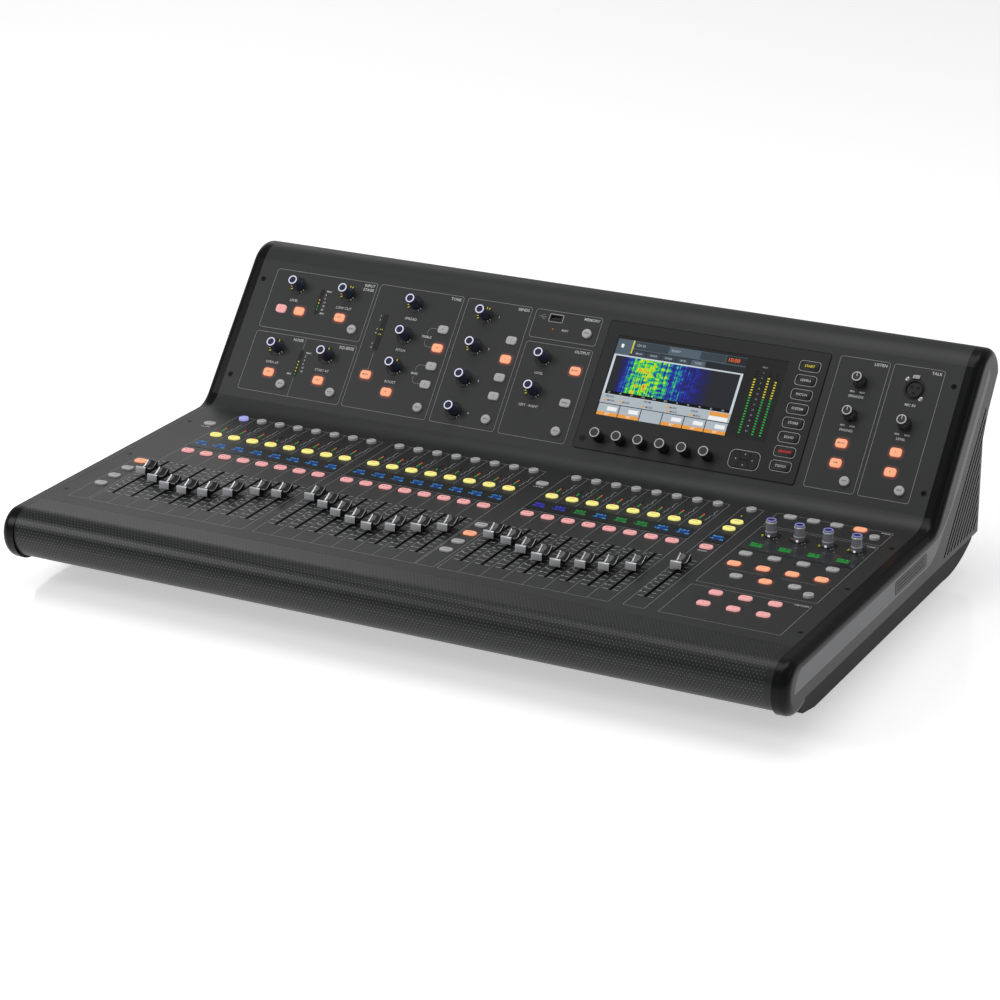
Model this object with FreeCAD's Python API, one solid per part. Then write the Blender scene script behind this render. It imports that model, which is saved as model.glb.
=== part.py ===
import FreeCAD, Part
import math
import os

Vector = FreeCAD.Vector

# A digital mixing console. X is its width, +Y points to the rear, Z = 0 is the surface it stands on.
# Lengths are in millimetres. The flat front part is called the deck, the raised rear part the bridge.

# Driving dimensions of the housing
overall_width = 891.0
cheek_width = 16.6            # side castings, left and right of the panels
deck_height = 86.5            # top face of the deck above the table
bridge_tilt = 50.14           # slope of the bridge panel, degrees from level
crease_y = 107.0              # where the deck and bridge planes would meet
deck_front_y = -234.5         # seam between the deck panel and the armrest
front_y = -288.3              # front of the cheeks
armrest_inset = 1.5           # the armrest sits this far behind the front of the cheeks
rear_wall_y = 242.0
tray_front_y = -241.9
sheet = 2.0                   # panel thickness
valley_radius = 30.0          # soft bend between the deck and the bridge
crest_radius = 35.4
crest_start = 185.2           # distance up the bridge slope where the crest begins
tray_top = 40.7
tray_bottom = 15.5
gap = 0.3                     # clearance between pieces that move or slide together

# Channel strips
fader_pitch = 23.7
first_fader_x = -370.3
bank_gaps = {8: 11.9, 16: 27.7, 24: 14.5}      # extra room after these channels
fader_travel = 100.0
slot_front_y = -187.5
slot_rear_y = -78.0
slot_width = 3.0
fader_levels = [0.62, 0.48, 0.35, 0.32, 0.36, 0.48, 0.64, 0.69,
                0.77, 0.64, 0.50, 0.39, 0.31, 0.39, 0.51, 0.64,
                0.68, 0.61, 0.47, 0.36, 0.30, 0.38, 0.43, 0.56, 0.80]
select_y = 77.2
solo_y = 18.3
mute_y = -39.5

# Rows and columns of controls on the bridge, measured up the slope from the crease
encoder_rows = [158.4, 119.3, 80.2, 41.1]
view_row = 37.2
key_rows = [133.2, 110.5, 88.0, 65.5]
channel_encoders = {
    "gain": (-372.9, encoder_rows[0]), "low_cut": (-307.0, encoder_rows[0]),
    "gate": (-373.5, encoder_rows[2]), "compressor": (-307.9, encoder_rows[2]),
    "eq_width": (-219.2, encoder_rows[0]), "eq_frequency": (-219.2, encoder_rows[1]),
    "eq_gain": (-219.2, encoder_rows[2]),
    "send_1": (-130.6, encoder_rows[0]), "send_2": (-130.6, encoder_rows[1]),
    "send_3": (-130.6, encoder_rows[2]), "send_4": (-130.6, encoder_rows[3]),
    "main_level": (-44.8, encoder_rows[1]), "pan": (-44.8, encoder_rows[2]),
}
screen_encoder_row = 39.2
screen_encoder_columns = [48.5 + 25.7 * n for n in range(6)]
pots = {"monitor_level": (319.8, 150.0), "phones_level": (319.8, 111.1),
        "talkback_gain": (380.8, 110.7)}
assign_knob_columns = [298.8 + 31.2 * n for n in range(4)]
assign_knob_y = 19.8
talkback_place = (380.4, 150.6)
usb_place = (-44.7, 167.7)

tilt = math.radians(bridge_tilt)
half_width = overall_width / 2
inner_half = half_width - cheek_width          # inner face of each cheek
panel_half = inner_half - gap


# ---------- small helpers ----------

def save(name, shape):
    """Write one node's shape to its own STEP file."""
    shape.exportStep("parts/" + name + ".step")


def arc_middle(centre, radius, start_angle, end_angle):
    """Point halfway round an arc, angles in degrees from +Y towards +Z."""
    angle = math.radians((start_angle + end_angle) / 2)
    return (centre[0] + radius * math.cos(angle), centre[1] + radius * math.sin(angle))


def side_face(start, steps, x=0.0):
    """Closed face in a plane of constant X; a step is a point, or a middle point and an end point."""
    edges = []
    here = Vector(x, *start)
    for step in steps:
        if len(step) == 2:
            there = Vector(x, *step)
            edges.append(Part.makeLine(here, there))
        else:
            middle = Vector(x, step[0], step[1])
            there = Vector(x, step[2], step[3])
            edges.append(Part.Arc(here, middle, there).toShape())
        here = there
    first = Vector(x, *start)
    if here.distanceToPoint(first) > 1e-6:
        edges.append(Part.makeLine(here, first))
    return Part.Face(Part.Wire(edges))


def extrude_between(face, x_low, x_high):
    """Sweep a side face, drawn at X = 0, from x_low to x_high."""
    body = face.extrude(Vector(x_high - x_low, 0, 0))
    body.translate(Vector(x_low, 0, 0))
    return body


def block(x_low, x_high, y_low, y_high, z_low, z_high):
    """Box given by its limits along each axis."""
    corner = Vector(x_low, y_low, z_low)
    return Part.makeBox(x_high - x_low, y_high - y_low, z_high - z_low, corner)


def round_upright_edges(solid, radius):
    """Fillet every edge that runs along Z."""
    upright = [edge for edge in solid.Edges
               if len(edge.Vertexes) == 2
               and abs(edge.Vertexes[0].Point.z - edge.Vertexes[1].Point.z) > 1e-6
               and abs(edge.Vertexes[0].Point.x - edge.Vertexes[1].Point.x) < 1e-6
               and abs(edge.Vertexes[0].Point.y - edge.Vertexes[1].Point.y) < 1e-6]
    return solid.makeFillet(radius, upright)


def moved(shape, x, y, z):
    """Copy of a shape, shifted."""
    copy = shape.copy()
    copy.translate(Vector(x, y, z))
    return copy


def to_bridge(shape):
    """Take a shape drawn flat, Y up the slope and Z out of the panel, onto the bridge."""
    copy = shape.copy()
    copy.rotate(Vector(0, 0, 0), Vector(1, 0, 0), bridge_tilt)
    copy.translate(Vector(0, crease_y, deck_height))
    return copy


def bridge_point(up, out=0.0):
    """Y and Z of a point given by its distance up the slope and out of the panel."""
    y = crease_y + up * math.cos(tilt) - out * math.sin(tilt)
    z = deck_height + up * math.sin(tilt) + out * math.cos(tilt)
    return (y, z)


def fader_columns():
    """X of each fader, the last one being the main fader."""
    columns = []
    x = first_fader_x
    for number in range(1, 26):
        columns.append(x)
        x += fader_pitch + bank_gaps.get(number, 0.0)
    return columns


# ---------- outlines of the housing, seen from the side ----------

bend_run = valley_radius * math.tan(tilt / 2)
valley_start = (crease_y - bend_run, deck_height)
valley_end = bridge_point(bend_run)
valley_centre = (valley_start[0], deck_height + valley_radius)
crest_tangent = bridge_point(crest_start)
crest_centre = bridge_point(crest_start, -crest_radius)
crest_rear = (crest_centre[0] + crest_radius, crest_centre[1])
rear_step_high = (263.0, 170.0)
rear_step_low = (rear_wall_y, 128.0)


def on_circle(centre, radius, angle):
    """Point of a circle, its angle in degrees from +Y towards +Z."""
    return arc_middle(centre, radius, angle, angle)


def front_curve(front, nose_radius, chin_radius, wall=0.0):
    """Steps round the front, from the top of the nose down to the end of the chin."""
    nose = (front + nose_radius, deck_height - nose_radius)
    chin = (front + chin_radius, nose[1] - 1.0)
    return [
        (*arc_middle(nose, nose_radius - wall, 90, 180), front + wall, nose[1]),
        (front + wall, chin[1]),
        (*arc_middle(chin, chin_radius - wall, 180, 295), *on_circle(chin, chin_radius - wall, 295))]


def reversed_steps(start, steps):
    """The same steps walked backwards, ending at start."""
    ends = [start] + [step[-2:] for step in steps[:-1]]
    return [(*step[:-2], *end) for step, end in zip(reversed(steps), reversed(ends))]


def valley_middle(radius):
    return arc_middle(valley_centre, radius, 270, 270 + bridge_tilt)


def crest_middle(radius):
    return arc_middle(crest_centre, radius, 90 + bridge_tilt, 0)


# ---------- fixed pieces of the housing ----------

def make_cheek():
    """Right-hand side casting with a rounded outer rim, a trim pocket and ventilation grooves."""
    rim_radius = 9.7
    nose_radius = 25.8
    start = (front_y + nose_radius, deck_height)
    outline = side_face(start, front_curve(front_y, nose_radius, 31.9) + [
        (tray_front_y - 0.6, tray_top + gap),
        (rear_wall_y, tray_top + gap),
        rear_step_low,
        rear_step_high,
        crest_rear,
        (*crest_middle(crest_radius), *crest_tangent),
        valley_end,
        (*valley_middle(valley_radius), *valley_start)])
    cheek = extrude_between(outline, inner_half, half_width)
    rim = []
    for edge in cheek.Edges:
        box = edge.BoundBox
        on_outer_face = box.XMin > half_width - 1e-6
        if on_outer_face and box.ZMin > deck_height - nose_radius - 1.1:
            rim.append(edge)
    cheek = cheek.makeFillet(rim_radius, rim)
    cheek = cheek.cut(trim_body(0.9, 0.15))
    for groove in vent_grooves():
        cheek = cheek.cut(groove)
    return cheek


def trim_body(depth, clearance):
    """Strip that lies in the outer face of the right cheek, wide beside the deck, slim up the bridge."""
    top = deck_height - 10.7 + clearance
    bottom = deck_height - 32.4 - clearance
    upper_depth = -24.2 + clearance
    lower_depth = -33.4 - clearance
    bend_low = (118.0, bottom + 13.0)
    outline = side_face((-270.0 - clearance, bottom), [
        (84.0, bottom),
        (104.0, bottom + 3.8, *bend_low),
        bridge_point(62.0, lower_depth),
        bridge_point(192.0 + clearance, lower_depth),
        bridge_point(196.0 + clearance, upper_depth),
        bridge_point(52.0, upper_depth),
        (112.0, top + 1.6, 92.0, top),
        (-254.0, top),
        (-266.0, top - 8.0, -270.0 - clearance, bottom)])
    return extrude_between(outline, half_width - depth, half_width + clearance)


def vent_grooves():
    """Slanted grooves behind the bridge part of the cheek."""
    area = side_face((128.7, 47.0), [
        (237.0, 47.0), (237.0, 129.0), (247.0, 150.0), (247.0, 186.0)])
    area = extrude_between(area, half_width - 2.2, half_width + 1)
    grooves = []
    for number in range(10):
        depth = 47.0 + 7.6 * number
        groove = block(half_width - 2.2, half_width + 1, -70, 180, -depth - 3.2, -depth)
        grooves.append(to_bridge(groove).common(area))
    return grooves


def mirrored(shape):
    """Left-hand twin of a right-hand piece."""
    return shape.mirror(Vector(0, 0, 0), Vector(1, 0, 0))


def make_base_tray():
    """Folded tray under everything, open at the top, its rear corner sweeping up."""
    def profile(inset):
        return side_face((tray_front_y + inset, tray_top + inset), [
            (tray_front_y + inset, 28.0 + inset * 0.6),
            (tray_front_y + 6.0 + inset, 20.8 + inset),
            (-205.0, tray_bottom + inset),
            (150.0, tray_bottom + inset),
            (205.0 - inset / 2, 20.5 + inset, rear_wall_y - 6.0 - inset, 33.0 + inset / 2),
            (rear_wall_y - inset, tray_top + inset)])
    shell_half = half_width - 4.5
    tray = extrude_between(profile(0), -shell_half, shell_half)
    inside = extrude_between(profile(sheet), -shell_half + sheet, shell_half - sheet)
    return tray.cut(inside)


def make_armrest():
    """Moulded armrest across the front, a shell that curls under to meet the tray."""
    front = front_y + armrest_inset
    nose_radius = 24.3
    wall = 4.0
    outer = front_curve(front, nose_radius, 30.4)
    inner = front_curve(front, nose_radius, 30.4, wall)
    inner_start = (front + nose_radius, deck_height - wall)
    outline = side_face((deck_front_y, deck_height), [
        (front + nose_radius, deck_height),
        *outer,
        inner[-1][-2:],
        *reversed_steps(inner_start, inner),
        (deck_front_y, deck_height - wall)])
    return extrude_between(outline, -panel_half, panel_half)


def make_deck_panel(openings):
    """Flat control panel with a slot for each fader and a hole for each key and knob."""
    panel = block(-panel_half, panel_half, deck_front_y + 0.2, valley_start[0],
                  deck_height - sheet, deck_height)
    slots = [block(x - slot_width / 2, x + slot_width / 2, slot_front_y, slot_rear_y,
                   deck_height - 5, deck_height + 1) for x in fader_columns()]
    return panel.cut(slots + openings)


def make_bridge_panel(openings):
    """Sloping panel, bent into the deck at its foot and over the crest at its top."""
    outline = side_face(valley_start, [
        (*valley_middle(valley_radius), *valley_end),
        crest_tangent,
        (*crest_middle(crest_radius), *crest_rear),
        (crest_rear[0] - sheet, crest_rear[1]),
        (*crest_middle(crest_radius - sheet), *bridge_point(crest_start, -sheet)),
        bridge_point(bend_run, -sheet),
        (*valley_middle(valley_radius + sheet), valley_start[0], deck_height - sheet)])
    panel = extrude_between(outline, -panel_half, panel_half)
    return panel.cut(openings)


def rear_slope(shape):
    """Take a shape drawn flat, Y up the face and Z out of it, onto the sloping rear face."""
    run = crest_rear[0] - rear_step_low[0]
    rise = crest_rear[1] - rear_step_low[1]
    lean = math.degrees(math.atan2(rise, run))
    copy = shape.copy()
    copy.rotate(Vector(0, 0, 0), Vector(0, 1, 0), 180)
    copy.rotate(Vector(0, 0, 0), Vector(1, 0, 0), lean)
    copy.translate(Vector(0, rear_step_low[0], rear_step_low[1]))
    return copy


def rear_wall(shape):
    """Take a shape drawn flat, Y up the face and Z out of it, onto the upright rear face."""
    copy = shape.copy()
    copy.rotate(Vector(0, 0, 0), Vector(0, 1, 0), 180)
    copy.rotate(Vector(0, 0, 0), Vector(1, 0, 0), 90)
    copy.translate(Vector(0, rear_wall_y, tray_top))
    return copy


def make_rear_panel(openings):
    """Rear panel in two flats: an upright one and one that leans out to the crest."""
    outline = side_face((rear_wall_y, tray_top + gap), [
        rear_step_low,
        (crest_rear[0] - gap * 0.51, crest_rear[1] - gap * 0.86),
        (crest_rear[0] - sheet * 1.2, crest_rear[1] - gap * 0.86),
        (rear_step_low[0] - sheet, rear_step_low[1] + 0.6),
        (rear_wall_y - sheet, tray_top + gap)])
    panel = extrude_between(outline, -panel_half, panel_half)
    return panel.cut(openings)


def make_feet():
    """Six round rubber feet under the tray."""
    foot = Part.makeCone(11.0, 13.0, tray_bottom)
    feet = [moved(foot, x, y, 0) for x in (-380, 0, 380) for y in (-180, 130)]
    return Part.makeCompound(feet)


def screw_places():
    """Centres of the panel screws, on the deck and up the bridge."""
    deck = [(x, y) for x in (-421.3, 421.3) for y in (-199.2, -77.6, 43.7)]
    bridge = [(x, up) for x in (-421.3, 421.3) for up in (39.3, 160.6)]
    return deck, bridge


def make_screws():
    """Countersunk hexagon-socket screws, flush with the panels."""
    head = Part.makeCone(1.6, 3.0, 1.8, Vector(0, 0, -1.8))
    shank = Part.makeCylinder(1.5, 6.2, Vector(0, 0, -8))
    points = [Vector(1.1 * math.cos(math.radians(60 * n)), 1.1 * math.sin(math.radians(60 * n)), -1.2)
              for n in range(7)]
    socket = Part.Face(Part.makePolygon(points)).extrude(Vector(0, 0, 2))
    screw = head.fuse(shank).cut(socket)
    deck, bridge = screw_places()
    screws = [moved(screw, x, y, deck_height) for x, y in deck]
    screws += [to_bridge(moved(screw, x, up, 0)) for x, up in bridge]
    return Part.makeCompound(screws)


def screw_holes():
    """Countersunk holes that take the screws, for the deck and for the bridge."""
    hole = Part.makeCone(1.7, 3.25, 2.2, Vector(0, 0, -2.1)).fuse(
        Part.makeCylinder(1.7, 6.0, Vector(0, 0, -6)))
    deck, bridge = screw_places()
    on_deck = [moved(hole, x, y, deck_height) for x, y in deck]
    on_bridge = [to_bridge(moved(hole, x, up, 0)) for x, up in bridge]
    return on_deck, on_bridge


# ---------- keys ----------

key_shapes = {
    "oblong": (12.6, 9.6, 3.0),     # width, depth, corner radius
    "broad": (13.6, 10.2, 3.8),
    "oval": (13.4, 10.4, 4.8),
    "wide": (21.5, 10.8, 3.4),
    "pad": (32.0, 19.0, 5.0),
}
round_key_radius = 5.4
key_rise = {"oblong": 2.4, "broad": 2.4, "oval": 2.4, "round": 2.8, "wide": 1.5, "pad": 1.7}
key_depth = 6.0                # how far a key reaches below the panel face


def make_key(kind, grow=0.0, rise=None):
    """One key centred on the origin, its panel face at Z = 0; grow widens it into its opening."""
    top = key_rise[kind] if rise is None else rise
    if kind == "round":
        cap = Part.makeCylinder(round_key_radius + grow, key_depth + top, Vector(0, 0, -key_depth))
    else:
        width, depth, corner = key_shapes[kind]
        cap = block(-width / 2 - grow, width / 2 + grow, -depth / 2 - grow, depth / 2 + grow,
                    -key_depth, top)
        cap = round_upright_edges(cap, corner + grow)
    if grow:
        return cap
    rim = [edge for edge in cap.Edges if edge.BoundBox.ZMin > top - 1e-6]
    cap = cap.makeFillet(0.7, rim)
    return split_pad(cap) if kind == "pad" else cap


def split_pad(pad):
    """Cut the arrow pad into its four keys, along both diagonals."""
    width, depth, corner = key_shapes["pad"]
    lean = math.degrees(math.atan2(depth, width))
    pieces = pad
    for angle in (lean, -lean):
        saw = block(-30, 30, -gap, gap, -20, 20)
        saw.rotate(Vector(0, 0, 0), Vector(0, 0, 1), angle)
        pieces = pieces.cut(saw)
    return pieces


def strip_key_places():
    """Select, solo and mute keys of every strip."""
    columns = fader_columns()
    places = [("round", x, select_y) for x in columns]
    places += [("oval", x, solo_y) for x in columns]
    places += [("broad", x, mute_y) for x in columns]
    places.append(("oval", columns[-1], 38.9))
    return places


def function_key_places():
    """Layer, bank, assign and mute-group keys on the deck."""
    layer_rows = [-91.5, -117.2, -142.9, -168.6]
    places = [("broad", x, y) for x in (-397.7, 21.9) for y in layer_rows]
    places += [("broad", -396.1, 46.8), ("broad", 22.9, 46.8)]
    places += [("broad", 296.5 + 25.9 * n, 77.3) for n in range(4)]
    places.append(("round", 395.7, 61.6))
    places += [("broad", 295.7 + 31.4 * n, y) for y in (-38.5, -68.0) for n in range(4)]
    places += [("oval", 310.9 + 31.4 * n, -98.2) for n in range(3)]
    places.append(("round", 394.3, -113.0))
    places += [("broad", 310.4 + 31.5 * n, y) for y in (-146.9, -176.8) for n in range(3)]
    return places


def bridge_key_places():
    """Keys on the bridge: function keys, round view keys, screen mode keys and arrows."""
    places = [("oblong", -385.2, 127.8), ("oblong", -361.3, 127.8), ("oblong", -307.8, 127.8)]
    places += [("oblong", x, 49.2) for x in (-373.4, -308.2, -219.6)]
    places.append(("oblong", -251.6, key_rows[3]))
    places += [("oblong", x, up) for x in (-175.0, -88.9) for up in key_rows]
    places += [("oblong", -2.6, 109.8), ("oblong", -2.6, 71.2)]
    places += [("oblong", x, up) for x in (319.2, 380.0) for up in (78.3, 55.8)]
    places += [("round", -287.5, 115.9), ("round", -2.6, 154.9)]
    places += [("round", x, view_row) for x in (-353.3, -288.0, -175.1, -89.1, -2.9, 334.3, 395.3)]
    places += [("wide", 260.8, 41.7 + 16.7 * n) for n in range(8)]
    places.append(("pad", 219.1, 41.7))
    return places


def deck_keys(places):
    """Group of keys on the deck, one separate solid each."""
    caps = {kind: make_key(kind) for kind in key_rise}
    return Part.makeCompound([moved(caps[kind], x, y, deck_height) for kind, x, y in places])


def bridge_keys(places):
    """Group of keys on the bridge, one separate solid each."""
    caps = {kind: make_key(kind) for kind in key_rise}
    return Part.makeCompound([to_bridge(moved(caps[kind], x, up, 0)) for kind, x, up in places])


def key_holes(places):
    """Openings for a group of keys, drawn flat."""
    holes = {kind: make_key(kind, gap, 4.0) for kind in key_rise}
    return [moved(holes[kind], x, y, 0) for kind, x, y in places]


# ---------- knobs ----------

def make_knob(base_radius, top_radius, height, shaft_length, skirt=0.0):
    """Tapered knob with an optional skirt, on its shaft; Z = 0 is the panel face."""
    lift = 0.6
    points = [(0.0, -shaft_length), (3.0, -shaft_length), (3.0, lift)]
    if skirt:
        points += [(skirt, lift), (skirt, lift + 3.0)]
    points += [(base_radius, lift if not skirt else lift + 3.0), (top_radius, height - 0.8),
               (top_radius - 0.8, height), (0.0, height)]
    corners = [Vector(r, 0, z) for r, z in points] + [Vector(0, 0, -shaft_length)]
    half_section = Part.Face(Part.makePolygon(corners))
    return half_section.revolve(Vector(0, 0, 0), Vector(0, 0, 1), 360)


def shaft_hole(radius=3.3):
    """Opening for a knob's shaft."""
    return Part.makeCylinder(radius, 12.0, Vector(0, 0, -8.0))


# ---------- faders ----------

lever_thickness = 1.2
lever_length = 5.0
cap_width = 12.0
cap_length = 25.0


def fader_y(level):
    """Centre of a fader cap for a level between 0 and 1."""
    slack = (slot_rear_y - slot_front_y - fader_travel) / 2
    return slot_front_y + slack + fader_travel * level


def make_fader(x, y):
    """Saddle-shaped cap on the flat lever that goes down through the panel slot."""
    low = deck_height + 3.6
    high = deck_height + 12.6
    dip = deck_height + 9.0
    end = cap_length / 2
    outline = side_face((-end, low), [
        (end, low),
        (end - 0.8, high),
        (end - 2.2, high),
        (0.0, dip, -end + 2.2, high),
        (-end + 0.8, high)])
    cap = extrude_between(outline, -cap_width / 2, cap_width / 2)
    lever = block(-lever_thickness / 2, lever_thickness / 2, -lever_length / 2, lever_length / 2,
                  deck_height - 15.0, low + 2.5)
    cap = cap.cut(lever)
    return moved(Part.makeCompound([cap, lever]), x, y, 0)


def make_fader_modules():
    """Motor fader carcasses hanging under the deck, one to each slot."""
    top = deck_height - sheet
    carcass = block(-8.0, 8.0, slot_front_y - 9.0, slot_rear_y + 9.0, top - 36.0, top)
    groove = block(-1.6, 1.6, slot_front_y - 1.0, slot_rear_y + 1.0, top - 20.0, top + 1)
    carcass = carcass.cut(groove)
    motor = Part.makeCylinder(9.0, 22.0, Vector(0, slot_rear_y + 20.0, top - 58.0))
    motor = motor.fuse(block(-4.0, 4.0, slot_rear_y - 20.0, slot_rear_y + 22.0, top - 39.0, top - 36.0))
    return Part.makeCompound([moved(carcass.fuse(motor), x, 0, 0) for x in fader_columns()])


# ---------- screen, sockets, inner pieces ----------

screen_plate = (21.0, 281.0, 23.5, 176.0)          # x low, x high, up low, up high
screen_window = (35.5, 236.4, 65.0, 159.5)
bezel_rise = 1.0


def make_screen_bezel(openings):
    """Cover plate on the bridge with the screen window and the holes of the screen controls."""
    x_low, x_high, up_low, up_high = screen_plate
    plate = block(x_low, x_high, up_low, up_high, 0, bezel_rise)
    plate = round_upright_edges(plate, 3.0)
    x_low, x_high, up_low, up_high = screen_window
    window = block(x_low, x_high, up_low, up_high, -1, 2)
    return to_bridge(plate.cut([window] + openings))


def make_display_panel():
    """Screen module with its glass, behind the bezel window."""
    x_low, x_high, up_low, up_high = screen_window
    module = block(x_low - 4, x_high + 4, up_low - 4, up_high + 4, -7.0, 0)
    glass = block(x_low + 0.2, x_high - 0.2, up_low + 0.2, up_high - 0.2, 0, 0.6)
    return to_bridge(module.fuse(glass))


def display_recess():
    """Opening in the bridge panel for the screen module."""
    x_low, x_high, up_low, up_high = screen_window
    return block(x_low - 4.3, x_high + 4.3, up_low - 4.3, up_high + 4.3, -5, 3)


socket_radius = 11.5
socket_flange = (26.0, 28.0)


def make_input_socket():
    """Three-pole female socket: flange, barrel, ring groove and contact holes."""
    width, height = socket_flange
    flange = round_upright_edges(block(-width / 2, width / 2, -height / 2, height / 2, 0, 1.2), 3.0)
    barrel = Part.makeCylinder(socket_radius, 19.2, Vector(0, 0, -18.0))
    ring = Part.makeCylinder(9.7, 4.0, Vector(0, 0, -1.8)).cut(
        Part.makeCylinder(8.0, 5.0, Vector(0, 0, -2.0)))
    contacts = [Part.makeCylinder(1.4, 4.0, Vector(4.4 * math.cos(math.radians(a)),
                                                   4.4 * math.sin(math.radians(a)), -1.8))
                for a in (30, 150, 270)]
    return flange.fuse(barrel).cut([ring] + contacts)


def make_output_socket():
    """Three-pole male socket: flange and barrel with a recessed face and three pins."""
    width, height = socket_flange
    flange = round_upright_edges(block(-width / 2, width / 2, -height / 2, height / 2, 0, 1.2), 3.0)
    barrel = Part.makeCylinder(socket_radius, 19.2, Vector(0, 0, -18.0))
    recess = Part.makeCylinder(9.6, 6.0, Vector(0, 0, -2.4))
    shell = flange.fuse(barrel).cut(recess)
    pins = [Part.makeCylinder(1.2, 3.4, Vector(4.4 * math.cos(math.radians(a)),
                                               4.4 * math.sin(math.radians(a)), -2.6))
            for a in (90, 210, 330)]
    return shell.fuse(pins)


def make_network_socket():
    """Data socket with a shallow mouth."""
    body = block(-13.0, 13.0, -15.5, 15.5, -16.0, 1.2)
    mouth = block(-6.2, 6.2, -4.6, 4.6, -2.4, 3)
    return body.cut(mouth)


jack_radius = 3.2
jack_length = 14.0


def make_phones_socket():
    """Jack socket for headphones with a plain round bore."""
    collar = Part.makeCylinder(7.0, 2.2)
    barrel = Part.makeCylinder(6.0, jack_length + 4.0, Vector(0, 0, -jack_length - 1.8))
    bore = Part.makeCylinder(jack_radius, jack_length + 1, Vector(0, 0, 2.2 - jack_length))
    return collar.fuse(barrel).cut(bore)


def make_usb_socket():
    """Rectangular data socket on the bridge: a shell with a shallow mouth and a tongue."""
    shell = block(-7.6, 7.6, -3.9, 3.9, -15.0, 0.8)
    mouth = block(-6.2, 6.2, -2.6, 2.6, -2.8, 2)
    tongue = block(-5.4, 5.4, -1.9, 0.1, -3.0, 0.2)
    return shell.cut(mouth).fuse(tongue)


def make_power_inlet():
    """Mains inlet: an open shroud with three flat contacts."""
    shell = block(-16.0, 16.0, -12.0, 12.0, -22.0, 1.6)
    cavity = block(-12.5, 12.5, -8.3, 8.3, -16.0, 3)
    contacts = [block(x - 2.0, x + 2.0, up - 1.0, up + 1.0, -16.5, -4.0)
                for x, up in ((-7.0, -3.0), (7.0, -3.0), (0.0, 3.6))]
    return shell.cut(cavity).fuse(contacts)


input_columns = [-375.0 + 50.0 * n for n in range(16)]
input_rows = [23.0, 61.0]
output_columns = [-255.0 + 37.0 * n for n in range(16)]
output_row = 56.0
network_columns = [350.0, 385.0]
phones_place = (-300.0, 22.0)
inlet_place = (-385.0, 52.0)
switch_place = (-345.0, 52.0)


def rear_openings():
    """Holes in the rear panel for its sockets and the switch."""
    barrel = Part.makeCylinder(socket_radius + gap, 12.0, Vector(0, 0, -8))
    holes = [rear_slope(moved(barrel, x, up, 0)) for x in input_columns for up in input_rows]
    holes += [rear_wall(moved(barrel, x, output_row, 0)) for x in output_columns]
    data = block(-13.3, 13.3, -15.8, 15.8, -6, 6)
    holes += [rear_wall(moved(data, x, output_row, 0)) for x in network_columns]
    inlet = block(-16.3, 16.3, -12.3, 12.3, -6, 6)
    holes.append(rear_wall(moved(inlet, *inlet_place, 0)))
    switch = block(-7.4, 7.4, -11.4, 11.4, -6, 6)
    holes.append(rear_wall(moved(switch, *switch_place, 0)))
    phones = Part.makeCylinder(6.3, 12.0, Vector(0, 0, -6))
    holes.append(rear_wall(moved(phones, *phones_place, 0)))
    return holes


def make_sockets():
    """Every socket of the console, one separate solid each."""
    female = make_input_socket()
    male = make_output_socket()
    data = make_network_socket()
    pieces = [rear_slope(moved(female, x, up, 0)) for x in input_columns for up in input_rows]
    pieces += [rear_wall(moved(male, x, output_row, 0)) for x in output_columns]
    pieces += [rear_wall(moved(data, x, output_row, 0)) for x in network_columns]
    pieces.append(rear_wall(moved(make_phones_socket(), *phones_place, 0)))
    pieces.append(rear_wall(moved(make_power_inlet(), *inlet_place, 0)))
    pieces.append(to_bridge(moved(make_usb_socket(), *usb_place, 0)))
    talkback = female.cut(block(-40, 40, -40, 40, 0, 3))
    pieces.append(to_bridge(moved(talkback, *talkback_place, 0)))
    return Part.makeCompound(pieces)


def make_power_switch():
    """Rocker of the mains switch, pressed at its lower end."""
    rocker = block(-6.6, 6.6, -10.4, 10.4, -7.0, 2.6)
    hollow = Part.makeCylinder(40.0, 20.0, Vector(-10, 0, 41.6), Vector(1, 0, 0))
    rocker = rocker.cut(hollow)
    rocker = rocker.fuse(Part.makeCylinder(1.5, 14.2, Vector(-7.1, 0, 0), Vector(1, 0, 0)))
    rocker.rotate(Vector(0, 0, 0), Vector(1, 0, 0), -6)
    return rear_wall(moved(rocker, *switch_place, 0))


def make_electronics():
    """Circuit boards behind the deck keys and the bridge controls, and the power supply."""
    deck_board = block(-415, 415, -58, 88, deck_height - 22.0, deck_height - 20.4)
    processor = block(-30, 10, -20, 20, deck_height - 25.0, deck_height - 22.0)
    bridge_board = block(-412, 412, 40, 172, -26.0, -24.4)
    return Part.makeCompound([deck_board.fuse(processor), to_bridge(bridge_board),
                              make_power_supply()])


def make_power_supply():
    """Enclosed power supply standing in the rear of the tray."""
    floor = tray_bottom + sheet + gap
    box = block(-405, -245, 50, 145, floor + 8, 62)
    vents = [block(-400 + 12 * n, -396 + 12 * n, 46, 52, 34, 56) for n in range(13)]
    legs = [block(x, x + 8, y, y + 8, floor, floor + 8) for x in (-400, -258) for y in (54, 132)]
    return box.cut(vents).fuse(legs)


# ---------- the whole console ----------

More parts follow.
